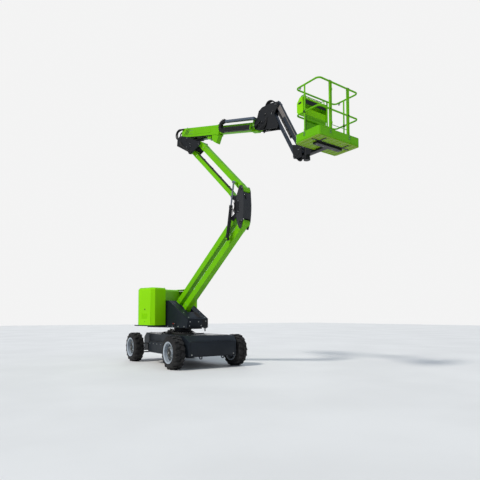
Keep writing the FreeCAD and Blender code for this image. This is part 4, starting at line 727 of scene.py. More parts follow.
@dataclass(frozen=True)
class Chassis:
    """The chassis's covers, bolts, hoses and axle fittings, in the row frame."""

    end: float = 1.75
    nose: float = 0.708
    half: float = 0.76
    low: float = 0.32
    high: float = 0.705
    deck: float = 0.85
    bevel: float = 0.19
    nose_run: float = 0.19
    rear: float = 0.48
    sill: float = 0.8
    sill_high: float = 0.63

    def build(self) -> None:
        """Builds everything that rides on the chassis."""
        self._panels()
        self._bolts()
        self._axles()
        self._slew_ring()
        self._deck_hoses()

    def _panels(self) -> None:
        """End panels, corner strips, bevel covers, the sills' steps and the seams of the deck."""
        x, nose, half, deck, high = self.end, self.nose, self.half, self.deck, self.high
        middle, tall = (self.low + high) / 2, high - self.low
        taper = math.degrees(math.atan2(half - nose, self.nose_run))
        rise = math.degrees(math.atan2(deck - high, self.bevel))
        form, seams = Form(), Form()
        form.block((x + 0.004, 0, middle), (0.01, 2 * nose - 0.11, tall - 0.05), SLATE, 0.004, None, 2)
        form.blocks(SLATE, 0.003,
                    ((x - self.bevel / 2 + 0.003, 0, (deck + high) / 2 + 0.004), (0.185, 2 * nose - 0.18, 0.007),
                     turn(rise, "Y")),
                    ((-x - 0.003, 0, middle), (0.008, 2 * self.rear - 0.1, tall - 0.06)))
        form.rod((x - 0.004, -nose + 0.03, high - 0.003), (x - 0.004, nose - 0.03, high - 0.003), 0.008, SLATE, 12)
        form.blocks(SLATE, 0.002, *(((at, 0, deck + 0.003), (long, wide, 0.006)) for at, long, wide in
                                    ((0.98, 0.98, 2 * half - 0.3), (-0.5, 0.36, 0.8), (-1.13, 0.8, 0.78))))
        for side in SIDES:
            form.turned([(0.022, 0), (0.026, 0.006), (0.026, tall - 0.006), (0.022, tall)], SLATE,
                        (x - 0.02, side * (nose - 0.022), self.low), steps=20)
            form.blocks(SLATE, 0.003,
                        ((x - 0.095, side * (nose + 0.028), middle), (0.16, 0.008, tall - 0.1), turn(-side * taper)),
                        ((0.12, side * (self.sill + 0.003), 0.5), (1.34, 0.006, 0.2)),
                        ((0.12, side * (half + 0.002), 0.745), (1.0, 0.006, 0.13)))
            form.blocks(BLACK, 0.002,
                        ((0.12, side * (half + 0.02), self.sill_high + 0.004), (1.44, 0.036, 0.008)),
                        ((-0.62, side * 0.772, 0.72), (0.03, 0.006, 0.22)))
            seams.block((0.98, side * (half - 0.145), deck + 0.0035), (0.98, 0.005, 0.007), PLASTIC, 0)
        form.piece("chassis_covers", "chassis")
        seams.blocks(PLASTIC, 0, ((x + 0.007, 0, self.low + 0.018), (0.004, 2 * nose - 0.16, 0.004)),
                     *(((at, 0, deck + 0.0035), (0.005, 2 * half - 0.29, 0.007)) for at in (0.484, 1.476)))
        seams.piece("chassis_seams", "chassis")

    def _bolts(self) -> None:
        """Round bolts on the end panels and deck covers, and rows on the sills."""
        x, half, spots = self.end, self.half, []
        for side in SIDES:
            spots.append(facing((x + 0.009, side * (self.nose - 0.085), self.low + 0.055), AHEAD))
            spots += [facing((-x - 0.006, side * 0.4, at), (-1, 0, 0)) for at in (self.low + 0.06, self.high - 0.07)]
            spots += [facing((-0.5 + 0.248 * step, side * (self.sill + 0.006), 0.575), (0, side, 0))
                      for step in range(6)]
            spots += [facing((at, side * out, self.deck + 0.006), UP) for at, out in (
                (0.53, half - 0.18), (0.98, half - 0.18), (1.43, half - 0.18), (-0.36, 0.36), (-0.64, 0.36),
                (-0.78, 0.35), (-1.13, 0.35), (-1.48, 0.35))]
        bolts("cover_bolts", "chassis", 0.022, spots)

    def _axles(self) -> None:
        """Hub flanges, the drive motors, the steer ram and its hoses."""
        form = Form()
        front, rear = pin("wheel_front_left_roll"), pin("wheel_rear_left_roll")
        ram = rear.x + 0.135
        for side in SIDES:
            form.turned([(0.128, 0.765), (0.128, 0.785), (0.118, 0.79), (0.118, 0.85), (0.09, 0.86)], BLACK,
                        (front.x, 0, front.z), (0, side, 0), 28)
            form.block((front.x, side * 0.6, front.z - 0.02), (0.2, 0.05, 0.24), BLACK, 0.008)
            form.block((rear.x + 0.1, side * 0.3, rear.z), (0.11, 0.05, 0.07), BLACK, 0.006)
        form.turned([(0.0, -0.3), (0.05, -0.3), (0.055, -0.29), (0.055, -0.02), (0.0, -0.02)], BLACK,
                    (ram, 0, rear.z), (0, 1, 0), 20)
        form.rod((ram, -0.02, rear.z), (ram, 0.3, rear.z), 0.022, CHROME)
        for off in (0.0, 0.035):
            form.tube([(rear.x + 0.14, -0.22 + off * 3, rear.z + 0.05), (rear.x + 0.22, -0.16, rear.z + 0.14 + off),
                       (-0.92, -0.1 + off, 0.66), (-0.66, -0.08 + off, 0.72)], 0.011)
        form.piece("axle_fittings", "chassis")

    def _slew_ring(self) -> None:
        """The ring's lips, bolts and teeth, and the slewing drive's cap, block and ports."""
        form, tooth = Form(), Form()
        form.turned([(0.27, 0.852), (0.305, 0.852), (0.31, 0.858), (0.31, 0.884), (0.305, 0.89), (0.27, 0.89),
                     (0.27, 0.852)], BLACK, steps=96)
        form.turned([(0.25, 0.905), (0.292, 0.905), (0.292, 0.936), (0.25, 0.936), (0.25, 0.905)], BLACK, steps=96)
        form.turned([(0.0, 0.105), (0.036, 0.105), (0.04, 0.1), (0.046, 0.094), (0.046, -0.01)], BLACK,
                    (0.0, -0.338, 0.906), AHEAD)
        form.block((-0.15, -0.388, 0.896), (0.1, 0.03, 0.08), BLACK, 0.005)
        form.rod((0.02, -0.368, 0.936), (0.02, -0.368, 0.971), 0.014, ZINC, 12, 0.002)
        form.rod((0.075, -0.328, 0.936), (0.075, -0.328, 0.974), 0.014, ZINC, 12, 0.002)
        form.piece("slew_drive_fittings", "chassis")
        bolts("ring_bolts", "chassis", 0.018, [turn(10 * i) @ shift(0.2985, 0, 0.89) for i in range(36)])
        tooth.block(ORIGIN, (0.014, 0.01, 0.03), BLACK, 0.002)
        Scatter("ring_teeth", BLACK, "chassis").place(
            tooth, [turn(3.75 * i) @ shift(0.3155, 0, 0.871) for i in range(96)])

    def _deck_hoses(self) -> None:
        """Black hoses from the slewing drive over the deck."""
        form = Form()
        for route in (
                [(0.02, -0.368, 0.96), (0.03, -0.4, 1.0), (0.14, -0.46, 0.97), (0.3, -0.44, 0.885),
                 (0.52, -0.3, 0.87), (0.66, -0.05, 0.868), (0.62, 0.22, 0.868), (0.42, 0.4, 0.868)],
                [(0.075, -0.328, 0.965), (0.1, -0.39, 0.995), (0.2, -0.44, 0.95), (0.36, -0.4, 0.882),
                 (0.58, -0.24, 0.871), (0.7, 0.02, 0.868), (0.66, 0.3, 0.868), (0.42, 0.45, 0.868)],
                [(-0.17, -0.4, 0.9), (-0.24, -0.47, 0.9), (-0.4, -0.46, 0.875), (-0.6, -0.36, 0.868),
                 (-0.72, -0.2, 0.868)]):
            form.tube(route, 0.013)
        form.blocks(PLASTIC, 0.004, *((spot, (0.04, 0.07, 0.02)) for spot in (
            (0.52, -0.27, 0.862), (0.68, -0.01, 0.862), (0.64, 0.26, 0.862))))
        form.tube([(0.4, -0.56, 0.866), (0.72, -0.6, 0.866), (1.15, -0.58, 0.866), (1.46, -0.5, 0.868)], 0.01)
        form.piece("deck_hoses", "chassis")


# Turret and its cowls

@dataclass(frozen=True)
class Turret:
    """The turret's edge strips, bolts, hoses and fittings, in the turret's frame."""

    half: float = 0.4
    front: float = 0.635
    nose: float = 1.28
    top: float = 1.81
    top_x: float = -0.175
    base: float = 1.03
    cover_x: float = 0.33
    fork: float = 0.135

    @property
    def slope(self) -> float:
        """The angle of the sloped edges below level, in degrees."""
        return math.degrees(math.atan2(self.top - self.nose, self.front - self.top_x))

    def high(self, x: float) -> float:
        """The height of the sloped edge at a place along X."""
        return self.nose + (self.front - x) * math.tan(math.radians(self.slope))

    def build(self) -> None:
        """Builds everything that rides on the turret apart from its cowls."""
        self._edges()
        self._fittings()
        self._channel()
        self._bolts()
        self._hoses()

    def _edges(self) -> None:
        """Rounded strips on the side plates' edges and a frame on the front panel."""
        form = Form(LAYOUT.turret())
        front, wide, cover = self.front, 2 * self.half, self.cover_x
        for side in SIDES:
            y, inner = side * (self.half - 0.009), side * (self.fork + 0.004)
            form.rod((front - 0.002, y, self.nose), (self.top_x, y, self.top), 0.0105, SLATE, 12)
            form.rod((front - 0.006, y, self.base + 0.01), (front - 0.006, y, self.nose), 0.0105, SLATE, 12)
            form.rod((cover + 0.01, inner, self.high(cover) - 0.003), (self.top_x, inner, self.top - 0.002), 0.008,
                     SLATE, 12)
        form.block((front + 0.002, 0, 1.145), (0.008, wide - 0.07, 0.2), SLATE, 0.003, None, 2)
        form.block((front - 0.002, 0, self.nose + 0.002), (0.014, wide - 0.03, 0.014), SLATE, 0.004, None, 2)
        middle = (front + cover) / 2
        form.block((middle, 0, self.high(middle) + 0.004), (0.26, wide - 0.12, 0.006), SLATE, 0.003,
                   turn(self.slope, "Y"))
        form.piece("turret_edges", "turret")

    def _fittings(self) -> None:
        """The stop post under the front, the pin caps, the control box and the cavity's valve block."""
        form = Form(LAYOUT.turret())
        half, base, post = self.half, self.base, (self.front - 0.06, self.half - 0.06)
        form.rod((*post, base + 0.002), (*post, 0.925), 0.018, BLACK, 16, 0.004)
        form.block((*post, base - 0.012), (0.09, 0.07, 0.02), BLACK, 0.004)
        form.block((0.46, 0, base - 0.018), (0.24, 0.44, 0.032), BLACK, 0.006)
        form.turned([(0.256, 0.0), (0.262, 0.004), (0.262, 0.03), (0.256, 0.034)], BLACK, (0, 0, 0.975), steps=72)
        form.block((-0.4, 0, 1.17), (0.26, 0.24, 0.18), BLACK, 0.008)
        for side in SIDES:
            for at, level in ((0.105, 1.55), (-0.19, 1.69)):
                form.rod((at, side * 0.162, level), (at, side * 0.176, level), 0.046, BLACK, 24, 0.004)
            form.block((0.3, side * 0.24, 1.2), (0.2, 0.12, 0.16), BLACK, 0.008)
            form.blocks(SLATE, 0.003, ((-0.24, side * (half + 0.006), 1.5), (0.03, 0.012, 0.58)),
                        ((-0.46, side * (half + 0.03), 1.075), (0.05, 0.09, 0.02)))
        form.block((0.1, -half - 0.01, 1.13), (0.12, 0.02, 0.09), BLACK, 0.005)
        form.turned([(0.016, 0), (0.016, 0.012), (0.01, 0.016), (0.0, 0.016)], RED, (0.07, -half - 0.02, 1.145),
                    (0, -1, 0), 16)
        form.disc(0.008, 0.012, ZINC, (0.13, -half - 0.02, 1.145), (0, -1, 0), 12)
        form.piece("turret_fittings", "turret")

    def _channel(self) -> None:
        """Thin black sheets painted as shade, one where the open channel in the sloped cover lies in shade and one
        where the front panel's cavity lies in shade, and the channel's hoses.
        """
        form = Form(LAYOUT.turret())
        # Painted shade: these two thin black sheets stand for the shade inside the channel and inside the cavity.
        form.blocks(PLASTIC, 0.002,
                    ((0.46, 0.135, self.high(0.46) + 0.0055), (0.3, 0.2, 0.006), turn(self.slope, "Y")),
                    ((self.front + 0.0055, 0.275, 1.165), (0.006, 0.2, 0.19)))
        form.bolt((self.front + 0.008, 0.3, 1.215), AHEAD, 0.024)
        for y in (0.0, 0.03, 0.06):
            form.tube([(x, out + y, self.high(x) + over) for x, out, over in (
                (0.36, 0.09, 0.004), (0.42, 0.1, 0.022), (0.5, 0.11, 0.02), (0.58, 0.12, 0.006))], 0.009)
        form.piece("turret_channel", "turret")

    def _bolts(self) -> None:
        """Bolts on the front panel, the sloped cover, the side plates and the pins."""
        base, face = LAYOUT.turret(), self.front + 0.006
        up = (math.sin(math.radians(self.slope)), 0, math.cos(math.radians(self.slope)))
        rows = [((face, y, z), AHEAD) for y, z in ((-0.3, 1.2), (0.02, 1.2), (-0.33, 1.09), (0.12, 1.09))]
        for side in SIDES:
            rows += [((at, side * 0.31, self.high(at) + 0.008), up) for at in (0.38, 0.585)]
            rows += [((at, side * out, z), (0, side, 0)) for at, out, z in (
                (0.5, self.half, 1.065), (0.25, self.half, 1.065), (0.0, self.half, 1.065),
                (-0.2, self.half, 1.065), (0.105, 0.176, 1.575), (-0.19, 0.176, 1.715))]
        bolts("turret_bolts", "turret", 0.024, [facing(spot, outward, base) for spot, outward in rows])

    def _hoses(self) -> None:
        """A bundle of hoses that rises from the cavity behind the links' feet."""
        form = Form(LAYOUT.turret())
        for k in range(5):
            y = -0.05 + 0.025 * k
            form.tube([(-0.42, y, 1.26), (-0.36, y, 1.44), (-0.3, y * 1.1, 1.52 + 0.01 * k), (-0.27, y * 1.1, 1.4),
                       (-0.1, y, 1.16), (0.2, y, 1.1)], 0.01)
        for y, high in ((-0.2, 1.36), (-0.23, 1.39), (0.2, 1.36), (0.23, 1.39)):
            form.tube([(0.3, y, 1.28), (0.22, y, high), (0.06, y, 1.3), (-0.2, y, 1.2), (-0.45, y * 0.8, 1.18)],
                      0.009)
        form.piece("turret_hoses", "turret")


@dataclass(frozen=True)
class Cowl:
    """A side hood's edge lines, latch and vents, in the turret's frame."""

    side: int
    out: float = 0.9
    front: float = -0.27
    low: float = 1.1
    top: float = 2.18

    def build(self) -> None:
        """Builds the hood's trim."""
        side, low, y, base = self.side, self.low, self.side * self.out, LAYOUT.turret()
        word = "left" if side > 0 else "right"
        body = f"hood_{word}"
        form, latch, slat = Form(base), Form(base), Form()
        form.block((-0.64, y + side * 0.002, low + 0.02), (0.52, 0.006, 0.03), COWL, 0.003)
        form.rod((-0.36, y - side * 0.0015, low + 0.05), (-0.36, y - side * 0.0015, self.top - 0.08), 0.004, COWL, 10)
        form.block((self.front + 0.001, side * 0.62, low + 0.02), (0.005, 0.34, 0.03), COWL, 0.002)
        form.piece(f"cowl_edges_{word}", body)
        latch.turned([(0.0, 0.0), (0.021, 0.0), (0.021, 0.004), (0.016, 0.006), (0.0, 0.006)], PLASTIC,
                     (-0.62, y, 1.55), (0, side, 0), 20)
        latch.block((-0.62, y + side * 0.007, 1.55), (0.008, 0.006, 0.026), PLASTIC, 0.002)
        latch.turned([(0.0, 0.0), (0.012, 0.0), (0.012, 0.004), (0.0, 0.004)], PLASTIC, (-0.62, y, 1.2),
                     (0, side, 0), 16)
        for long in (0.05, 0.15):
            latch.block((-0.62, side * 0.872, low + 0.004), (long, 0.02, 0.006), PLASTIC, 0.001)
        latch.piece(f"cowl_latch_{word}", body)
        slat.block((0, 0, 0.002), (0.012, 0.15, 0.008), COWL, 0.003)
        Scatter(f"cowl_vents_{word}", COWL, body).place(
            slat, [facing((-0.76 + 0.03 * k, y, 1.36), (0, side, 0), base) for k in range(9)])


# Riser links and knuckle

def along_ram(swing: str, stroke: str) -> Matrix:
    """A ram's frame, from the joints of its foot and its rod: origin at the foot pin, +X along it."""
    way = next(Vector(entry["axis"]) for entry in frame["joints"] if entry["name"] == stroke)
    ahead = LAYOUT.turret().to_3x3() @ Vector(AHEAD)
    return LAYOUT.link(swing, math.degrees(math.atan2(way.z, way.dot(ahead))))


def pin_caps(form: Form, reach: float, radius: float, *pins: tuple[float, float, float]) -> None:
    """Adds keeper caps with their bolts on both ends of crosswise pins.

    Args:
        form: the form that gets them.
        reach: the pins' half length.
        radius: the caps' radius.
        *pins: each pin's X and Z, and the direction of its keeper's bolt around it, in degrees.
    """
    for x, z, way in pins:
        bolt_x, bolt_z = (1.15 * radius * part(math.radians(way)) for part in (math.cos, math.sin))
        for side in SIDES:
            form.turned([(radius, reach - 0.001), (radius, reach + 0.005), (radius - 0.004, reach + 0.008),
                         (radius * 0.45, reach + 0.008), (radius * 0.4, reach + 0.005), (0.0, reach + 0.005)], BLACK,
                        (x, 0, z), (0, side, 0), 28)
            form.bolt((x + bolt_x, side * reach, z + bolt_z), (0, side, 0), 0.017)


@dataclass(frozen=True)
class Link:
    """One riser link's end collars, plate, fittings and, on the face to its partner, its hoses and clamps."""

    body: str
    joint: str
    rise: float
    long: float
    wide: float
    deep: float
    inner: int
    run: float = 0.0
    clamps: int = 0
    hose: float = 0.0105

    def build(self) -> None:
        """Dresses the link in its own frame; hoses lie a run apart, and the inner side is -1 or 1."""
        at = LAYOUT.link(self.joint, self.rise)
        form, trim = Form(at), Form(at)
        long, inner, run, out, face = self.long, self.inner, self.run, self.wide / 2 + 0.005, self.deep / 2
        ends = (0.19, long - 0.19)
        for place in ends:
            form.block((place, 0, 0), (0.1, self.wide + 0.01, self.deep + 0.01), LIME, 0.004, None, 2)
        form.block((long * 0.5, 0, -inner * (face + 0.002)), (0.2, self.wide * 0.5, 0.005), LIME, 0.002)
        form.piece(f"{self.body}_strips", self.body)
        level = inner * (face + self.hose + 0.001)
        for y in (-run, 0.0, run) if run else ():
            trim.tube([(0.22, y, level - inner * 0.004), (0.4, y, level), (long * 0.5, y * 1.1, level),
                       (long - 0.4, y, level), (long - 0.2, y, level - inner * 0.004)], self.hose, sections=4)
        for i in range(self.clamps):
            x = 0.45 + (long - 0.9) * i / (self.clamps - 1)
            trim.block((x, 0, inner * (face + 0.013)), (0.035, 2 * run + 0.045, 0.028), PLASTIC, 0.004)
            for side in SIDES:
                trim.bolt((x, side * (run - 0.027), inner * (face + 0.027)), (0, 0, inner), 0.012, False)
        for place in ends:
            for side in SIDES:
                trim.bolt((place, side * out, 0), (0, side, 0), 0.016)
                trim.rod((place + 0.03, side * out, 0.02), (place + 0.03, side * (out + 0.007), 0.02), 0.005, BRASS, 8)
        trim.piece(f"{self.body}_trim", self.body, "black_rubber")


@dataclass(frozen=True)
class Riser:
    """The trim of the four links and the knuckle, and the lift ram's fittings."""

    plate: float = 0.16
    hose: float = 0.0105

    def build(self) -> None:
        """Builds the trim of the links, the knuckle and the lift ram."""
        lower, upper = LAYOUT.lower_rise, 180.0 - LAYOUT.upper_rise
        Link("lower_link_front", "riser_lift", lower, LAYOUT.lower_long, 0.2, 0.165, 1, 0.055, 6).build()
        Link("lower_link_rear", "riser_rear_pivot", lower, LAYOUT.lower_long, 0.16, 0.15, -1).build()
        Link("upper_link_top", "upper_top_pivot", upper, LAYOUT.upper_long, 0.16, 0.145, 1).build()
        Link("upper_link_low", "upper_low_pivot", upper, LAYOUT.upper_long, 0.124, 0.112, -1, 0.035, 4).build()
        self._knuckle()
        self._ram()

    def _knuckle(self) -> None:
        """The knuckle's pin caps, cover plate, bolts and hose bends."""
        at, plate = LAYOUT.level("knuckle_level"), self.plate
        form, bends = Form(at), Form(at)
        pin_caps(form, plate, 0.042, (0.0, 0.0, 60.0), (-0.295, 0.14, 200.0), (0.015, 0.869, 40.0),
                 (-0.295, 0.707, 150.0))
        for side in SIDES:
            form.block((-0.135, side * (plate + 0.003), 0.43), (0.16, 0.007, 0.34), BLACK, 0.003, turn(3, "Y"))
            for x, z in ((-0.195, 0.29), (-0.075, 0.29), (-0.195, 0.57), (-0.075, 0.57)):
                form.bolt((x, side * (plate + 0.006), z), (0, side, 0), 0.018)
        form.rod((-0.05, -plate, 0.3), (-0.05, plate, 0.3), 0.02, BLACK)
        form.piece("knuckle_fittings", "knuckle")
        for k, y in enumerate((-0.06, -0.03, 0.0, 0.03, 0.06)):
            bends.tube([(-0.2, y, 0.2), (-0.13, y, 0.24 + 0.006 * k), (-0.06, y, 0.36), (-0.055, y, 0.5),
                        (-0.12, y, 0.62 - 0.006 * k), (-0.2, y, 0.66)], self.hose)
        for x in (0.0, 0.03):
            y = -plate - 0.012
            bends.tube([(x - 0.26, y, 0.3), (x - 0.2, y - 0.004, 0.42), (x - 0.22, y, 0.56)], 0.008)
        bends.piece("knuckle_hoses", "knuckle")

    def _ram(self) -> None:
        """The lift ram's gland, band, ports and pipe."""
        form = Form(along_ram("riser_ram_swing", "riser_ram_stroke"))
        form.turned([(0.0435, 0.8), (0.048, 0.805), (0.048, 0.868), (0.044, 0.876), (0.03, 0.876)], BLACK,
                    axis=AHEAD, steps=32)
        form.turned([(0.043, 0.1), (0.0455, 0.105), (0.0455, 0.135), (0.043, 0.14)], BLACK, axis=AHEAD, steps=32)
        for x in (0.14, 0.79):
            form.block((x, 0, -0.05), (0.035, 0.03, 0.02), BLACK)
            form.rod((x, 0, -0.055), (x, 0, -0.078), 0.009, ZINC, 12)
        form.tube([(0.14, 0, -0.076), (0.2, 0.004, -0.078), (0.45, 0.006, -0.066), (0.7, 0.004, -0.078),
                   (0.79, 0, -0.076)], 0.0075)
        form.block((0.47, 0, -0.052), (0.03, 0.035, 0.022), PLASTIC)
        form.piece("lift_ram_fittings", "riser_ram_barrel")


# Top bracket and telescopic boom

@dataclass(frozen=True)
class Chain:
    """The energy chain's side plates along its loop and lower run, in the boom's frame."""

    loop_x: float = 1.725
    loop_z: float = 0.235
    mean: float = 0.1275
    run_end: float = 2.69
    run_z: float = 0.13
    near: float = -0.1665
    far: float = -0.1035
    pitch: float = 0.052

    def path(self) -> list[Matrix]:
        """The places of the links, around the loop and then along the run."""
        steps = int(math.pi * self.mean / self.pitch) + 2
        made = []
        for i in range(steps + 1):
            angle = 90 + 180 * i / steps
            spin = math.radians(angle)
            made.append(shift(self.loop_x + self.mean * math.cos(spin), 0, self.loop_z + self.mean * math.sin(spin))
                        @ turn(90 - angle, "Y"))
        count = int((self.run_end - self.loop_x) / self.pitch)
        return made + [shift(self.loop_x + self.pitch * (i + 0.6), 0, self.run_z) for i in range(count)]

    def build(self) -> None:
        """Places the side plates and cross bars on both sides of the chain."""
        plate, bar = Form(), Form()
        plate.block(ORIGIN, (0.05, 0.005, 0.092), PLASTIC, 0.0035)
        for x, z in ((-0.014, 0.02), (0.012, -0.02)):
            plate.turned([(0.0, 0.0), (0.013, 0.0), (0.013, 0.0045), (0.0, 0.0045)], PLASTIC, (x, -0.001, z),
                         (0, -1, 0), 10)
        bar.block(ORIGIN, (0.014, self.far - self.near, 0.006), PLASTIC, 0.002)
        middle = (self.near + self.far) / 2
        links = [LAYOUT.boom() @ place for place in self.path()]
        Scatter("chain_plates", PLASTIC, "boom_inner").place(
            plate, [place @ shift(0, y, 0) for place in links for y in (self.near, self.far)])
        Scatter("chain_bars", PLASTIC, "boom_inner").place(
            bar, [place @ shift(0, middle, level) for place in links for level in (-0.056, 0.056)])


@dataclass(frozen=True)
class Boom:
    """The two boom tubes' slots, pads, bolts and hoses, and the top bracket's fittings, in the boom's frame."""

    half: float = 0.085
    high: float = 0.305
    inner_half: float = 0.068
    collar: float = 1.485
    plate: float = 0.16

    def build(self) -> None:
        """Builds the trim of the boom, the bracket and the luffing ram."""
        self._bracket()
        self._outer()
        self._outer_hoses()
        self._inner()
        self._ram()
        Chain().build()

    def _bracket(self) -> None:
        """The top bracket's pin caps, side covers and hoses."""
        at, plate = LAYOUT.level("bracket_level"), self.plate
        back, front = (at.inverted() @ pin(joint) for joint in ("boom_luff", "boom_ram_swing"))
        form, hoses = Form(at), Form(at)
        pin_caps(form, plate, 0.04, (0.0, 0.0, -60.0), (-0.31, -0.162, 220.0), (back.x, back.z, 100.0),
                 (front.x, front.z, 60.0))
        for side in SIDES:
            form.block((-0.42, side * (plate + 0.003), 0.02), (0.22, 0.007, 0.17), BLACK, 0.003, turn(-28, "Y"))
            for x, z in ((-0.5, 0.01), (-0.35, 0.08), (-0.49, -0.07), (-0.34, 0.0)):
                form.bolt((x, side * (plate + 0.006), z), (0, side, 0), 0.015)
        form.piece("bracket_fittings", "top_bracket")
        y = -plate - 0.013
        for k in (0.0, 0.01, 0.02):
            hoses.tube([(2 * k - 0.8, y, 0.24), (3 * k - 0.72, y - 0.006, 0.1), (2 * k - 0.56, y - 0.006, -0.01),
                        (-0.44, y, -0.08 - 2 * k), (-0.36, y + 0.004, -0.15 - 2 * k)], 0.009)
        hoses.piece("bracket_hoses", "top_bracket")

    def _outer(self) -> None:
        """The outer tube's edge strips, slanted slots, collar pads and bolts."""
        at, half, high = LAYOUT.boom(), self.half, self.high
        form, marks = Form(at), Form(at)
        form.blocks(LIME, 0.002, ((self.collar, half + 0.013, 0.18), (0.05, 0.005, 0.17)),
                    ((0.95, 0, high + 0.003), (0.7, 0.1, 0.006)),
                    *(((0.72, side * (half + 0.002), 0.175), (0.92, 0.005, 0.12)) for side in SIDES))
        form.piece("boom_outer_strips", "boom_outer")
        for y in (-half - 0.002, half + 0.0005):
            for x in (0.075, 0.135, 0.195):
                marks.sheet([(x, 0.115), (x + 0.024, 0.115), (x + 0.099, 0.265), (x + 0.075, 0.265)], Axis.Y, y,
                            0.0015, PLASTIC)
        marks.block((-0.053, 0, 0.175), (0.008, 0.15, 0.22), PLASTIC)
        for y in (-0.055, 0.055):
            for z in (0.1, 0.25):
                marks.bolt((-0.057, y, z), (-1, 0, 0), 0.014)
        marks.block((0.14, 0.02, high + 0.016), (0.09, 0.07, 0.03), BLACK, 0.005)
        marks.rod((0.12, -0.03, high + 0.02), (0.12, -0.055, high + 0.02), 0.01, ZINC, 10)
        marks.piece("boom_outer_marks", "boom_outer")
        collar = (self.collar - 0.018, self.collar + 0.018)
        rows = [((x, half + 0.0155, z), (0, 1, 0)) for x in collar for z in (0.12, 0.24)]
        rows += [((x, side * (half + 0.0045), z), (0, side, 0)) for side, x in ((-1, 0.33), (-1, 0.4), (1, 0.33),
                                                                                (1, 1.12)) for z in (0.13, 0.22)]
        rows += [((x, side * out, high + over), UP) for side in SIDES for x, out, over in (
            (collar[0], 0.05, 0.012), (collar[1], 0.05, 0.012), (0.66, 0.035, 0.006), (1.24, 0.035, 0.006))]
        bolts("boom_bolts", "boom_outer", 0.014, [facing(spot, outward, at) for spot, outward in rows])

    def _outer_hoses(self) -> None:
        """Hoses that loop at the rear end and run under the outer tube."""
        form = Form(LAYOUT.boom())
        for k, y in enumerate((-0.074, -0.045, 0.045, 0.074)):
            reach = 0.118 + 0.012 * (k % 2)
            form.tube([(-0.06, y, 0.275), (-0.12, y, 0.285 - 0.005 * k), (-0.14 - reach, y, 0.22),
                       (-0.15 - reach, y, 0.12), (-0.13 - reach * 0.7, y, 0.02), (-0.08, y, -0.012), (0.04, y, 0.022),
                       (0.2, y, 0.03)], 0.011)
        for y in (-0.076, -0.056, 0.056, 0.076):
            form.tube([(0.2, y, 0.03), (0.6, y, 0.028), (1.00, y, 0.03), (1.22, y, 0.026)], 0.0095, sections=3)
        form.blocks(PLASTIC, 0.003, *(((x, side * 0.066, 0.029), (0.03, 0.046, 0.03))
                                      for x in (0.45, 0.8, 1.05) for side in SIDES))
        form.piece("boom_outer_hoses", "boom_outer")

    def _inner(self) -> None:
        """The inner tube's nose strips, hoses and bolts, and the bolts and seam of the chain's cover."""
        at, half = LAYOUT.boom(), self.inner_half
        form, trim = Form(at), Form(at)
        form.block((2.712, -0.125, 0.13), (0.02, 0.085, 0.115), LIME)
        for side in SIDES:
            form.block((2.738, side * (half + 0.009), 0.195), (0.06, 0.006, 0.24), LIME)
            for z in (0.11, 0.2, 0.29):
                trim.bolt((2.738, side * (half + 0.012), z), (0, side, 0), 0.016)
        form.piece("boom_inner_strips", "boom_inner")
        for k, y in enumerate((-0.15, -0.132, -0.114)):
            trim.tube([(2.66, y, 0.13), (2.76, y, 0.12 + 0.008 * k), (2.86, y + 0.01, 0.15), (2.93, y + 0.03, 0.22),
                       (2.96, y + 0.05, 0.3)], 0.009)
        for x in (1.84, 2.06, 2.28, 2.5, 2.72):
            trim.bolt((x, -0.142, 0.38), UP, 0.013)
            trim.bolt((x, -0.171, 0.348), (0, -1, 0), 0.013)
        trim.block((2.26, -0.172, 0.322), (0.92, 0.003, 0.008), PLASTIC, 0.001)
        trim.piece("boom_inner_trim", "boom_inner", "black_rubber")

    def _ram(self) -> None:
        """The luffing ram's gland, ports and pipe."""
        form = Form(along_ram("boom_ram_swing", "boom_ram_stroke"))
        form.turned([(0.0437, 0.49), (0.0453, 0.493), (0.0453, 0.547), (0.044, 0.552), (0.028, 0.552)], BLACK,
                    axis=AHEAD, steps=32)
        for x in (0.1, 0.47):
            form.block((x, -0.05, 0.0), (0.03, 0.018, 0.028), BLACK)
        form.tube([(0.1, -0.058, 0.0), (0.16, -0.06, -0.002), (0.3, -0.052, 0.0), (0.42, -0.06, 0.002),
                   (0.47, -0.058, 0.0)], 0.007)
        form.piece("luff_ram_fittings", "boom_ram_barrel")


# Head and jib

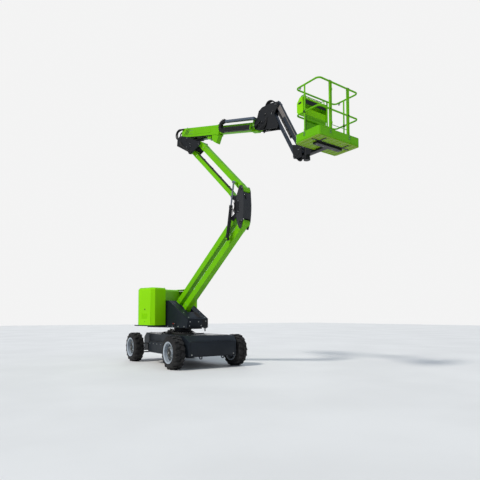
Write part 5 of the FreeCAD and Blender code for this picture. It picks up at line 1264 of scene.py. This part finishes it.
@dataclass(frozen=True)
class Jib:
    """The head bracket's fittings and the jib members' strips, recess lines and hoses."""

    half: float = 0.048
    deep: float = 0.116
    low_half: float = 0.04
    low_deep: float = 0.066
    fork: float = 0.089

    def build(self) -> None:
        """Builds the trim of the head, both jib members and the cage's bracket."""
        self._head()
        self._head_hoses()
        self._upper()
        self._lower()
        self._bracket()

    def _head(self) -> None:
        """Pin caps, side plates and the valve block on the head bracket."""
        at, fork = LAYOUT.level("head_level"), self.fork
        lift, low = (at.inverted() @ pin(joint) for joint in ("jib_lift", "jib_lower_pivot"))
        form = Form(at)
        pin_caps(form, fork, 0.038, (0.0, 0.0, 120.0), (lift.x, lift.z, 170.0), (low.x, low.z, 250.0))
        for side in SIDES:
            form.block((0.16, side * (fork + 0.004), 0.14), (0.22, 0.01, 0.18), BLACK, 0.004, turn(-38, "Y"))
            form.block((0.05, side * (fork + 0.01), -0.09), (0.12, 0.022, 0.09), BLACK, 0.006, turn(-20, "Y"))
            for x, z, radius, out in ((0.2, 0.22, 0.034, 0.014), (0.09, 0.05, 0.026, 0.02)):
                form.turned([(radius, 0), (radius, out), (radius - 0.008, out + 0.006), (0.0, out + 0.006)], BLACK,
                            (x, side * fork, z), (0, side, 0))
        form.block((0.27, 0, 0.36), (0.15, 0.12, 0.09), BLACK, 0.008, turn(-35, "Y"))
        form.piece("head_fittings", "head_bracket")

    def _head_hoses(self) -> None:
        """The hose arches over the head, the hoses below and beside it, and their fittings."""
        form = Form(LAYOUT.level("head_level"))
        for y, high in ((-0.052, 0.56), (-0.03, 0.566), (0.03, 0.56), (0.052, 0.566)):
            form.tube([(0.19, y, 0.36), (0.185, y, 0.46), (0.23, y, high - 0.03), (0.3, y, high),
                       (0.38, y, high - 0.02), (0.44, y, 0.49), (0.47, y, 0.44)], 0.0095)
        for k, y in enumerate((-0.052, -0.03, -0.008, 0.014, 0.036)):
            form.rod((0.475 + 0.005 * (k % 2), y, 0.425), (0.462, y, 0.462), 0.013, BRASS, 6)
            form.rod((0.19, y, 0.345), (0.19, y, 0.375), 0.012, ZINC, 6)
        for k in range(3):
            y, across = -self.fork - 0.016, 0.03 * (k - 1)
            form.tube([(0.02, y, -0.12 + 0.02 * k), (0.1, y - 0.012, -0.16 + 0.03 * k),
                       (0.2, y - 0.008, -0.1 + 0.03 * k), (0.25, y, 0.02 + 0.02 * k), (0.22, y, 0.12)], 0.009)
            form.tube([(0.1, across, -0.14), (0.19, across, -0.185 + 0.012 * k), (0.3, across, -0.14),
                       (0.38, across, -0.02)], 0.009)
            form.rod((0.19 + 0.03 * k, across, -0.178), (0.215 + 0.03 * k, across, -0.155), 0.012, ZINC, 6)
        form.piece("head_hoses", "head_bracket")

    def _upper(self) -> None:
        """The upper member's side covers with long recess lines, its top strips and hoses; the pale tone on the covers
        is painted sunlight, as the sunlit side face looks, given to both sides.
        """
        at, half, top = LAYOUT.link("jib_lift", -LAYOUT.jib_drop), self.half, self.deep / 2
        form, strips, trim = Form(at), Form(at), Form(at)
        for side in SIDES:
            # Painted sunlight: each cover's head end is pale as the sunlit side face looks; the rest keeps the jib's
            # grey.
            for middle, length, finish in ((0.245, 0.35, PALE_SUNLIT), (0.895, 0.95, JIB_GREY)):
                form.block((middle, side * (half + 0.002), 0.004), (length, 0.005, 0.092), finish, 0.002)
                form.blocks(finish, 0.0015, *(((middle, side * (half + 0.005), level), (length - 0.02, 0.004, 0.018))
                                              for level in (-0.03, 0.004)))
            # Painted highlight: a pale top rib along the whole length and pale end strips, for the light lines along
            # the sunlit face.
            form.block((0.72, side * (half + 0.005), 0.038), (1.28, 0.004, 0.018), PALE_SUNLIT, 0.0015)
            for x in (0.1, 1.34):
                form.block((x, side * (half + 0.004), 0.004), (0.06, 0.008, 0.098), PALE_SUNLIT, 0.002)
            for y, z in ((0.0555, -0.076), (0.0555, -0.095), (0.0605, -0.057)):
                trim.tube([(x, side * (y + out), z - drop) for x, out, drop in (
                    (0.2, 0, 0), (0.42, 0.0008, 0.001), (0.62, 0, 0), (0.84, 0.0008, 0.001), (1.04, 0, 0))], 0.0085,
                    sections=3)
            for x in (0.28, 0.52, 0.76, 0.99):
                trim.block((x, side * 0.056, -0.074), (0.026, 0.021, 0.066), PLASTIC)
            for level in (-0.0135, 0.0215):
                trim.block((0.72, side * (half + 0.0042), level), (1.24, 0.0015, 0.006), PLASTIC, 0.0005)
            strips.block((0.72, side * 0.024, top + 0.0055), (1.26, 0.01, 0.004), JIB_GREY, 0.0015)
        strips.block((0.72, 0, top + 0.002), (1.3, 0.07, 0.005), JIB_GREY, 0.002)
        for x in (0.12, 0.42, 0.72, 1.02, 1.32):
            trim.bolt((x, 0, top + 0.0045), UP, 0.013)
        form.piece("jib_side_covers", "jib_upper")
        strips.piece("jib_upper_strips", "jib_upper")
        trim.piece("jib_upper_trim", "jib_upper")

    def _lower(self) -> None:
        """The lower member's edge strips and stiffener."""
        form, half, deep = Form(LAYOUT.link("jib_lower_pivot", -LAYOUT.jib_drop)), self.low_half, self.low_deep / 2
        for side in SIDES:
            y = side * (half - 0.006)
            for level in (-deep + 0.006, deep - 0.006):
                form.rod((0.07, y, level), (1.38, y, level), 0.0072, JIB_GREY, 10)
            form.block((0.72, side * (half + 0.001), 0), (1.0, 0.003, 0.03), JIB_GREY, 0.001)
        form.block((0.72, 0, -deep - 0.002), (0.9, 0.04, 0.005), JIB_GREY, 0.002)
        form.piece("jib_lower_strips", "jib_lower")

    def _bracket(self) -> None:
        """Pin caps and the rotator's collars, bolts and hoses on the cage's bracket."""
        at = LAYOUT.level("cage_level")
        form, trim, x = Form(at), Form(at), (at.inverted() @ pin("cage_rotate")).x
        pin_caps(form, self.fork, 0.034, (0.0, 0.0, 200.0), (-0.145, -0.159, 230.0))
        for side in SIDES:
            form.block((-0.07, side * (self.fork + 0.004), -0.08), (0.1, 0.01, 0.1), BLACK, 0.004, turn(40, "Y"))
        form.turned([(0.07, -0.262), (0.077, -0.256), (0.077, -0.24), (0.072, -0.236)], BLACK, (x, 0, 0), steps=40)
        form.block((x - 0.03, -0.08, -0.215), (0.09, 0.035, 0.06), BLACK, 0.006)
        form.rod((x + 0.02, -0.06, -0.275), (x + 0.02, -0.06, -0.235), 0.02, BLACK, 16, 0.003)
        form.piece("rotator_fittings", "cage_bracket")
        for k in (0.0, 0.01, 0.02):
            trim.tube([(-0.1, 3 * k - 0.05, -0.2), (-0.06, 3 * k - 0.06, -0.262), (0.02, 2 * k - 0.07, -0.268),
                       (0.07, -0.08, k - 0.235)], 0.0085)
        for k in range(6):
            spin = math.radians(60 * k + 15)
            trim.bolt((x + 0.06 * math.cos(spin), 0.06 * math.sin(spin), -0.2745), DOWN, 0.013, False)
        trim.piece("rotator_trim", "cage_bracket")


# Work cage

@dataclass(frozen=True)
class Cage:
    """The work cage's floor pattern, the parts under its floor, rail fittings, gate and console, in the cage's frame.
    """

    near: float = 0.295
    far: float = 1.02
    half: float = 0.65
    toe: float = 0.19
    floor: float = 0.034
    rail: float = 1.231
    mid: float = 0.63
    pitch: float = 0.052
    post_x: float = 0.585
    post_y: float = 0.631
    gate_x: float = 1.001
    gate_y: float = 0.301
    ribs: int = 9

    def form(self) -> Form:
        """An empty form in the cage's frame."""
        return Form(LAYOUT.cage())

    def build(self) -> None:
        """Builds everything that rides on the cage and on its gate."""
        self._floor()
        self._underside()
        self._toe()
        self._rails()
        self._console()
        self._arch()
        self._gate()
        self._mount()

    def _floor(self) -> None:
        """Raised crosswise lozenges on the floor, placed by a node tree, and the foot switch."""
        mark, form, floor = Form(), self.form(), self.floor
        mark.block((0, 0, 0.0008), (0.03, 0.008, 0.0024), TRAY, 0.001)
        rows, columns = int((self.far - self.near - 0.07) / self.pitch), int((2 * self.half - 0.09) / self.pitch)
        Scatter("floor_tread", TRAY, "cage").place(mark, [
            LAYOUT.cage() @ shift(self.near + 0.055 + self.pitch * i, -self.half + 0.07 + self.pitch * j, floor)
            @ turn(45 if (i + j) % 2 else -45) for i in range(rows) for j in range(columns)])
        form.block((0.62, -0.3, floor + 0.012), (0.16, 0.11, 0.024), PLASTIC, 0.006)
        form.block((0.64, -0.3, floor + 0.034), (0.11, 0.075, 0.016), PLASTIC, 0.004, turn(-9, "Y"))
        form.tube([(0.56, -0.28, floor + 0.012), (0.46, -0.22, floor + 0.008), (0.38, -0.24, floor + 0.01),
                   (0.33, -0.26, 0.12)], 0.007)
        form.piece("foot_switch", "cage")

    def _underside(self) -> None:
        """Ribs, crossbars and holes under the floor."""
        form, bars, hole, low = self.form(), self.form(), Form(), -self.half + 0.09
        gap, middle, long = -2 * low / (self.ribs - 1), (self.near + self.far) / 2, self.far - self.near
        form.blocks(TRAY, 0.002, *(((middle, low + gap * k, -0.0025), (long - 0.05, 0.022, 0.007))
                                   for k in range(self.ribs)))
        form.blocks(TRAY, 0.002, *(((x, 0, -0.0025), (0.022, 2 * self.half - 0.06, 0.007))
                                   for x in (self.near + 0.02, self.far - 0.02)))
        form.piece("floor_ribs", "cage")
        bars.block((0.745, 0, -0.004), (0.045, 1.16, 0.008), BLACK, 0.002)
        for y in (-0.36, 0.36):
            bars.block((0.86, y, -0.005), (0.16, 0.035, 0.01), BLACK, 0.002)
            bars.bolt((0.9, y, -0.01), DOWN, 0.014)
            bars.bolt((0.745, y * 1.4, -0.008), DOWN, 0.014)
        bars.piece("floor_crossbars", "cage")
        hole.turned([(0.011, -0.0004), (0.011, 0.0006), (0.0, 0.0006)], LIME_DARK, steps=10, smooth=False)
        Scatter("floor_holes", LIME_DARK, "cage").place(hole, [
            facing((self.near + 0.06 + 0.052 * i, low + gap * (k + 0.5) + off, 0.0), DOWN, LAYOUT.cage())
            for k in range(self.ribs - 1) for i in range(13) for off in (-0.034, 0.0, 0.034)])

    def _toe(self) -> None:
        """The toe tray's rolled edge, corner seams and post feet."""
        form, feet, half, top, low = self.form(), self.form(), self.half, self.toe - 0.002, 0.022
        start, end, face, seam = self.near + 0.07, self.far - 0.07, self.far - 0.003, self.far + 0.0005
        rods = [((face, -half + 0.07, top), (face, -0.3, top), 0.0055),
                ((face, 0.3, top), (face, half - 0.07, top), 0.0055),
                ((seam, -half + 0.07, low), (seam, half - 0.07, low), 0.0045)]
        for side in SIDES:
            rods += [((start, side * (half + out), z), (end, side * (half + out), z), radius)
                     for out, z, radius in ((-0.003, top, 0.0055), (0.0005, low, 0.0045))]
        for first, last, radius in rods:
            form.rod(first, last, radius, TRAY, 12)
        form.piece("toe_edges", "cage")
        for x, y, out_x, out_y in ((self.gate_x, self.gate_y, 1, 0), (self.gate_x, -self.gate_y, 1, 0),
                                   (self.post_x, self.post_y, 0, 1), (self.post_x, -self.post_y, 0, -1),
                                   (0.314, 0.362, -1, 0), (0.314, -0.362, -1, 0)):
            middle = Vector((x + out_x * 0.02, y + out_y * 0.02, self.toe - 0.055))
            feet.block(middle, (0.005, 0.062, 0.095) if out_x else (0.062, 0.005, 0.095), LIME_DARK, 0.002)
            for dz in (-0.028, 0.028):
                feet.bolt(middle + Vector((out_x * 0.0025, out_y * 0.0025, dz)), (out_x, out_y, 0), 0.013)
        feet.piece("post_feet", "cage")

    def _rails(self) -> None:
        """Clamps on the posts, rail end plugs, anchor plates and a cable along a post."""
        form, plates = self.form(), self.form()
        for side in SIDES:
            post, gate = (self.post_x, side * self.post_y), (self.gate_x, side * self.gate_y)
            form.turned([(0.0195, -0.03), (0.0235, -0.026), (0.0235, 0.026), (0.0195, 0.03)], PLASTIC,
                        (*post, self.mid), steps=20)
            form.block((self.post_x, side * 0.66, self.mid), (0.03, 0.016, 0.036), PLASTIC, 0.004)
            form.turned([(0.021, -0.016), (0.024, -0.012), (0.024, 0.012), (0.021, 0.016)], PLASTIC,
                        (*gate, self.mid), steps=20)
            form.turned([(0.018, 0.0), (0.024, 0.006), (0.024, 0.02), (0.016, 0.026), (0.0, 0.027)], PLASTIC,
                        (*gate, self.rail - 0.006), steps=20)
            plates.block((0.45, side * self.post_y, self.rail - 0.03), (0.06, 0.006, 0.05), ZINC, 0.002)
            plates.turned([(0.017, -0.004), (0.017, 0.004), (0.01, 0.004), (0.01, -0.004), (0.017, -0.004)], ZINC,
                          (0.45, side * self.post_y, self.rail - 0.052), (0, 1, 0), 18)
        form.tube([(0.33, -0.345, 0.74), (0.332, -0.35, 0.55), (0.332, -0.352, 0.35), (0.34, -0.34, 0.22),
                   (0.34, -0.3, 0.1)], 0.008)
        form.piece("rail_clamps", "cage")
        plates.piece("anchor_plates", "cage")

    def _console(self) -> None:
        """The console's slot, levers, switches and stop knob."""
        form, top = self.form(), 1.163
        form.blocks(PLASTIC, 0.0012,
                    *(((0.197, side * 0.4005, 1.03), (0.1, 0.003, 0.045)) for side in SIDES))
        for middle, size, chamfer in (((0.1985, 0, 1.1615), (0.1, 0.62, 0.004), 0.002),
                                      ((0.2965, 0, 1.06), (0.004, 0.66, 0.1), 0.003),
                                      ((0.098, 0, 1.07), (0.004, 0.56, 0.032), 0.0015)):
            form.block(middle, size, PLASTIC, chamfer)
        for y in (-0.24, -0.12, 0.14):
            form.turned([(0.02, 0.0), (0.02, 0.006), (0.014, 0.012), (0.008, 0.018), (0.006, 0.05), (0.0, 0.05)],
                        PLASTIC, (0.2, y, top), steps=18)
            form.turned([(0.0, 0.042), (0.011, 0.046), (0.013, 0.058), (0.011, 0.07), (0.0, 0.074)], PLASTIC,
                        (0.2, y, top), (0.1, 0, 1), 16)
        form.disc(0.022, 0.01, BRASS, (0.2, 0.27, top), steps=20)
        form.turned([(0.014, 0.008), (0.019, 0.02), (0.019, 0.028), (0.012, 0.033), (0.0, 0.033)], RED,
                    (0.2, 0.27, top), steps=20)
        for k in range(6):
            form.turned([(0.007, 0.0), (0.007, 0.007), (0.0, 0.008)], ZINC, (0.22, -0.03 + 0.03 * k, top), steps=12)
        form.piece("console_controls", "cage")

    def _arch(self) -> None:
        """The arch over the console, the back panel's ribs and the cables below."""
        form, cables = self.form(), self.form()
        for y in (-0.3, 0.3):
            form.tube([(0.125, y, 1.14), (0.118, y, 1.2), (0.145, y, 1.238), (0.2, y, 1.246), (0.255, y, 1.238),
                       (0.28, y, 1.2), (0.275, y, 1.15)], 0.01, LIME, 12)
        form.rod((0.2, -0.3, 1.242), (0.2, 0.3, 1.242), 0.0095, LIME, 14)
        form.blocks(LIME, 0.002, *(((0.2815, -0.24 + 0.12 * k, 0.44), (0.005, 0.018, 0.5)) for k in range(5)))
        form.blocks(LIME, 0.0015, *(((0.2965, 0, z), (0.004, 0.64, 0.025)) for z in (0.72, 0.16)))
        form.piece("console_arch", "cage")
        for y in (-0.1, -0.04, 0.02, 0.08):
            cables.tube([(0.22, y, 0.77), (0.235, y, 0.7), (0.262, y, 0.58), (0.262, y, 0.36), (0.25, y, 0.2),
                         (0.21, y * 0.8, 0.1)], 0.0085)
        cables.blocks(PLASTIC, 0.003, *(((0.268, -0.01, z), (0.026, 0.26, 0.022)) for z in (0.3, 0.52)))
        cables.piece("cage_cables", "cage")

    def _gate(self) -> None:
        """The gate's hinges, latch and handle; they swing with it."""
        form = self.form()
        for z in (0.45, 0.95):
            form.rod((1.001, -0.276, z - 0.035), (1.001, -0.276, z + 0.035), 0.0165, LIME_DARK, 16, 0.002)
        form.block((1.000, 0.262, 0.98), (0.028, 0.02, 0.09), PLASTIC, 0.004)
        form.rod((1.012, 0.262, 0.955), (1.026, 0.262, 0.955), 0.008, ZINC, 12)
        form.block((1.000, 0, 0.3), (0.006, 0.46, 0.014), LIME_DARK, 0.002)
        form.piece("gate_fittings", "cage_gate")

    def _mount(self) -> None:
        """The mount's bolts, hoses and the turning motor under the cage."""
        form, hoses = self.form(), self.form()
        for y in (-0.34, -0.14, 0.14, 0.34):
            form.bolt((0.657, y, -0.0463), DOWN, 0.018)
        form.block((0.235, -0.055, 0.02), (0.07, 0.05, 0.07), BLACK, 0.006)
        form.turned([(0.03, 0.0), (0.034, 0.005), (0.034, 0.085), (0.028, 0.092), (0.0, 0.092)], BLACK,
                    (0.235, -0.078, 0.02), (0, -1, 0), 28)
        form.rod((0.235, -0.1, 0.05), (0.235, -0.1, 0.075), 0.009, ZINC, 10)
        form.piece("cage_turn_motor", "cage", "dark_paint")
        for k in (0.0, 0.01, 0.02):
            hoses.tube([(0.235, -0.1 - 2 * k, 0.072), (0.225, -0.12 - 2 * k, 0.1), (0.19, -0.12, 0.1 + k),
                        (0.17, 2 * k - 0.07, 0.09), (0.16, 2 * k - 0.05, 0.05)], 0.008)
        hoses.piece("cage_mount_hoses", "cage")


# Finishes of the carried-over nodes

DRESS: tuple[tuple[Finish, str], ...] = (
    (SLATE, "chassis_frame turret_frame"),
    (JIB_GREY, "jib_upper jib_lower"),
    (CHARCOAL, "knuckle"),
    (BLACK, "top_bracket head_bracket cage_bracket cage_mount slew_ring battery_block tank_block steer_axle drive_axle "
            "steer_hub_left steer_hub_right tie_rod riser_ram_barrel boom_ram_barrel slew_motor"),
    (GREY, "hose_cover"),
    (HOSE, "boom_hose_loop head_hose_loop"),
    (PLASTIC, "hose_carrier"),
    (COWL, "hood_left hood_right console_hood"),
    (CHROME, "riser_ram_rod boom_ram_rod"),
    (CAST, "counterweight"),
    (LIME, "lower_link_front lower_link_rear upper_link_top upper_link_low boom_outer boom_inner cage_rails "
           "cage_back_panel cage_gate"),
    (TRAY, "cage_floor"),
    (RUBBER, "tyre_front_right tyre_front_left tyre_rear_right tyre_rear_left"),
    (RIM, "rim_front_right rim_front_left rim_rear_right rim_rear_left"),
)


def dress_nodes() -> None:
    """Gives every carried-over node its finish."""
    left = set(frame["nodes"])
    for finish, nodes in DRESS:
        for node in nodes.split():
            dress(node, finish)
            left.remove(node)
    if left:
        raise KeyError(f"nodes with no finish: {sorted(left)}")


def main() -> None:
    """Builds the machine's visual model and the stage, in order."""
    dress_nodes()
    Chassis().build()
    for corner, side in (("front_right", -1), ("front_left", 1), ("rear_right", -1), ("rear_left", 1)):
        Wheel(corner, side).build()
    Turret().build()
    for side in SIDES:
        Cowl(side).build()
    for part in (Riser(), Boom(), Jib(), Cage(), Studio()):
        part.build()


if __name__ == "__main__":
    main()
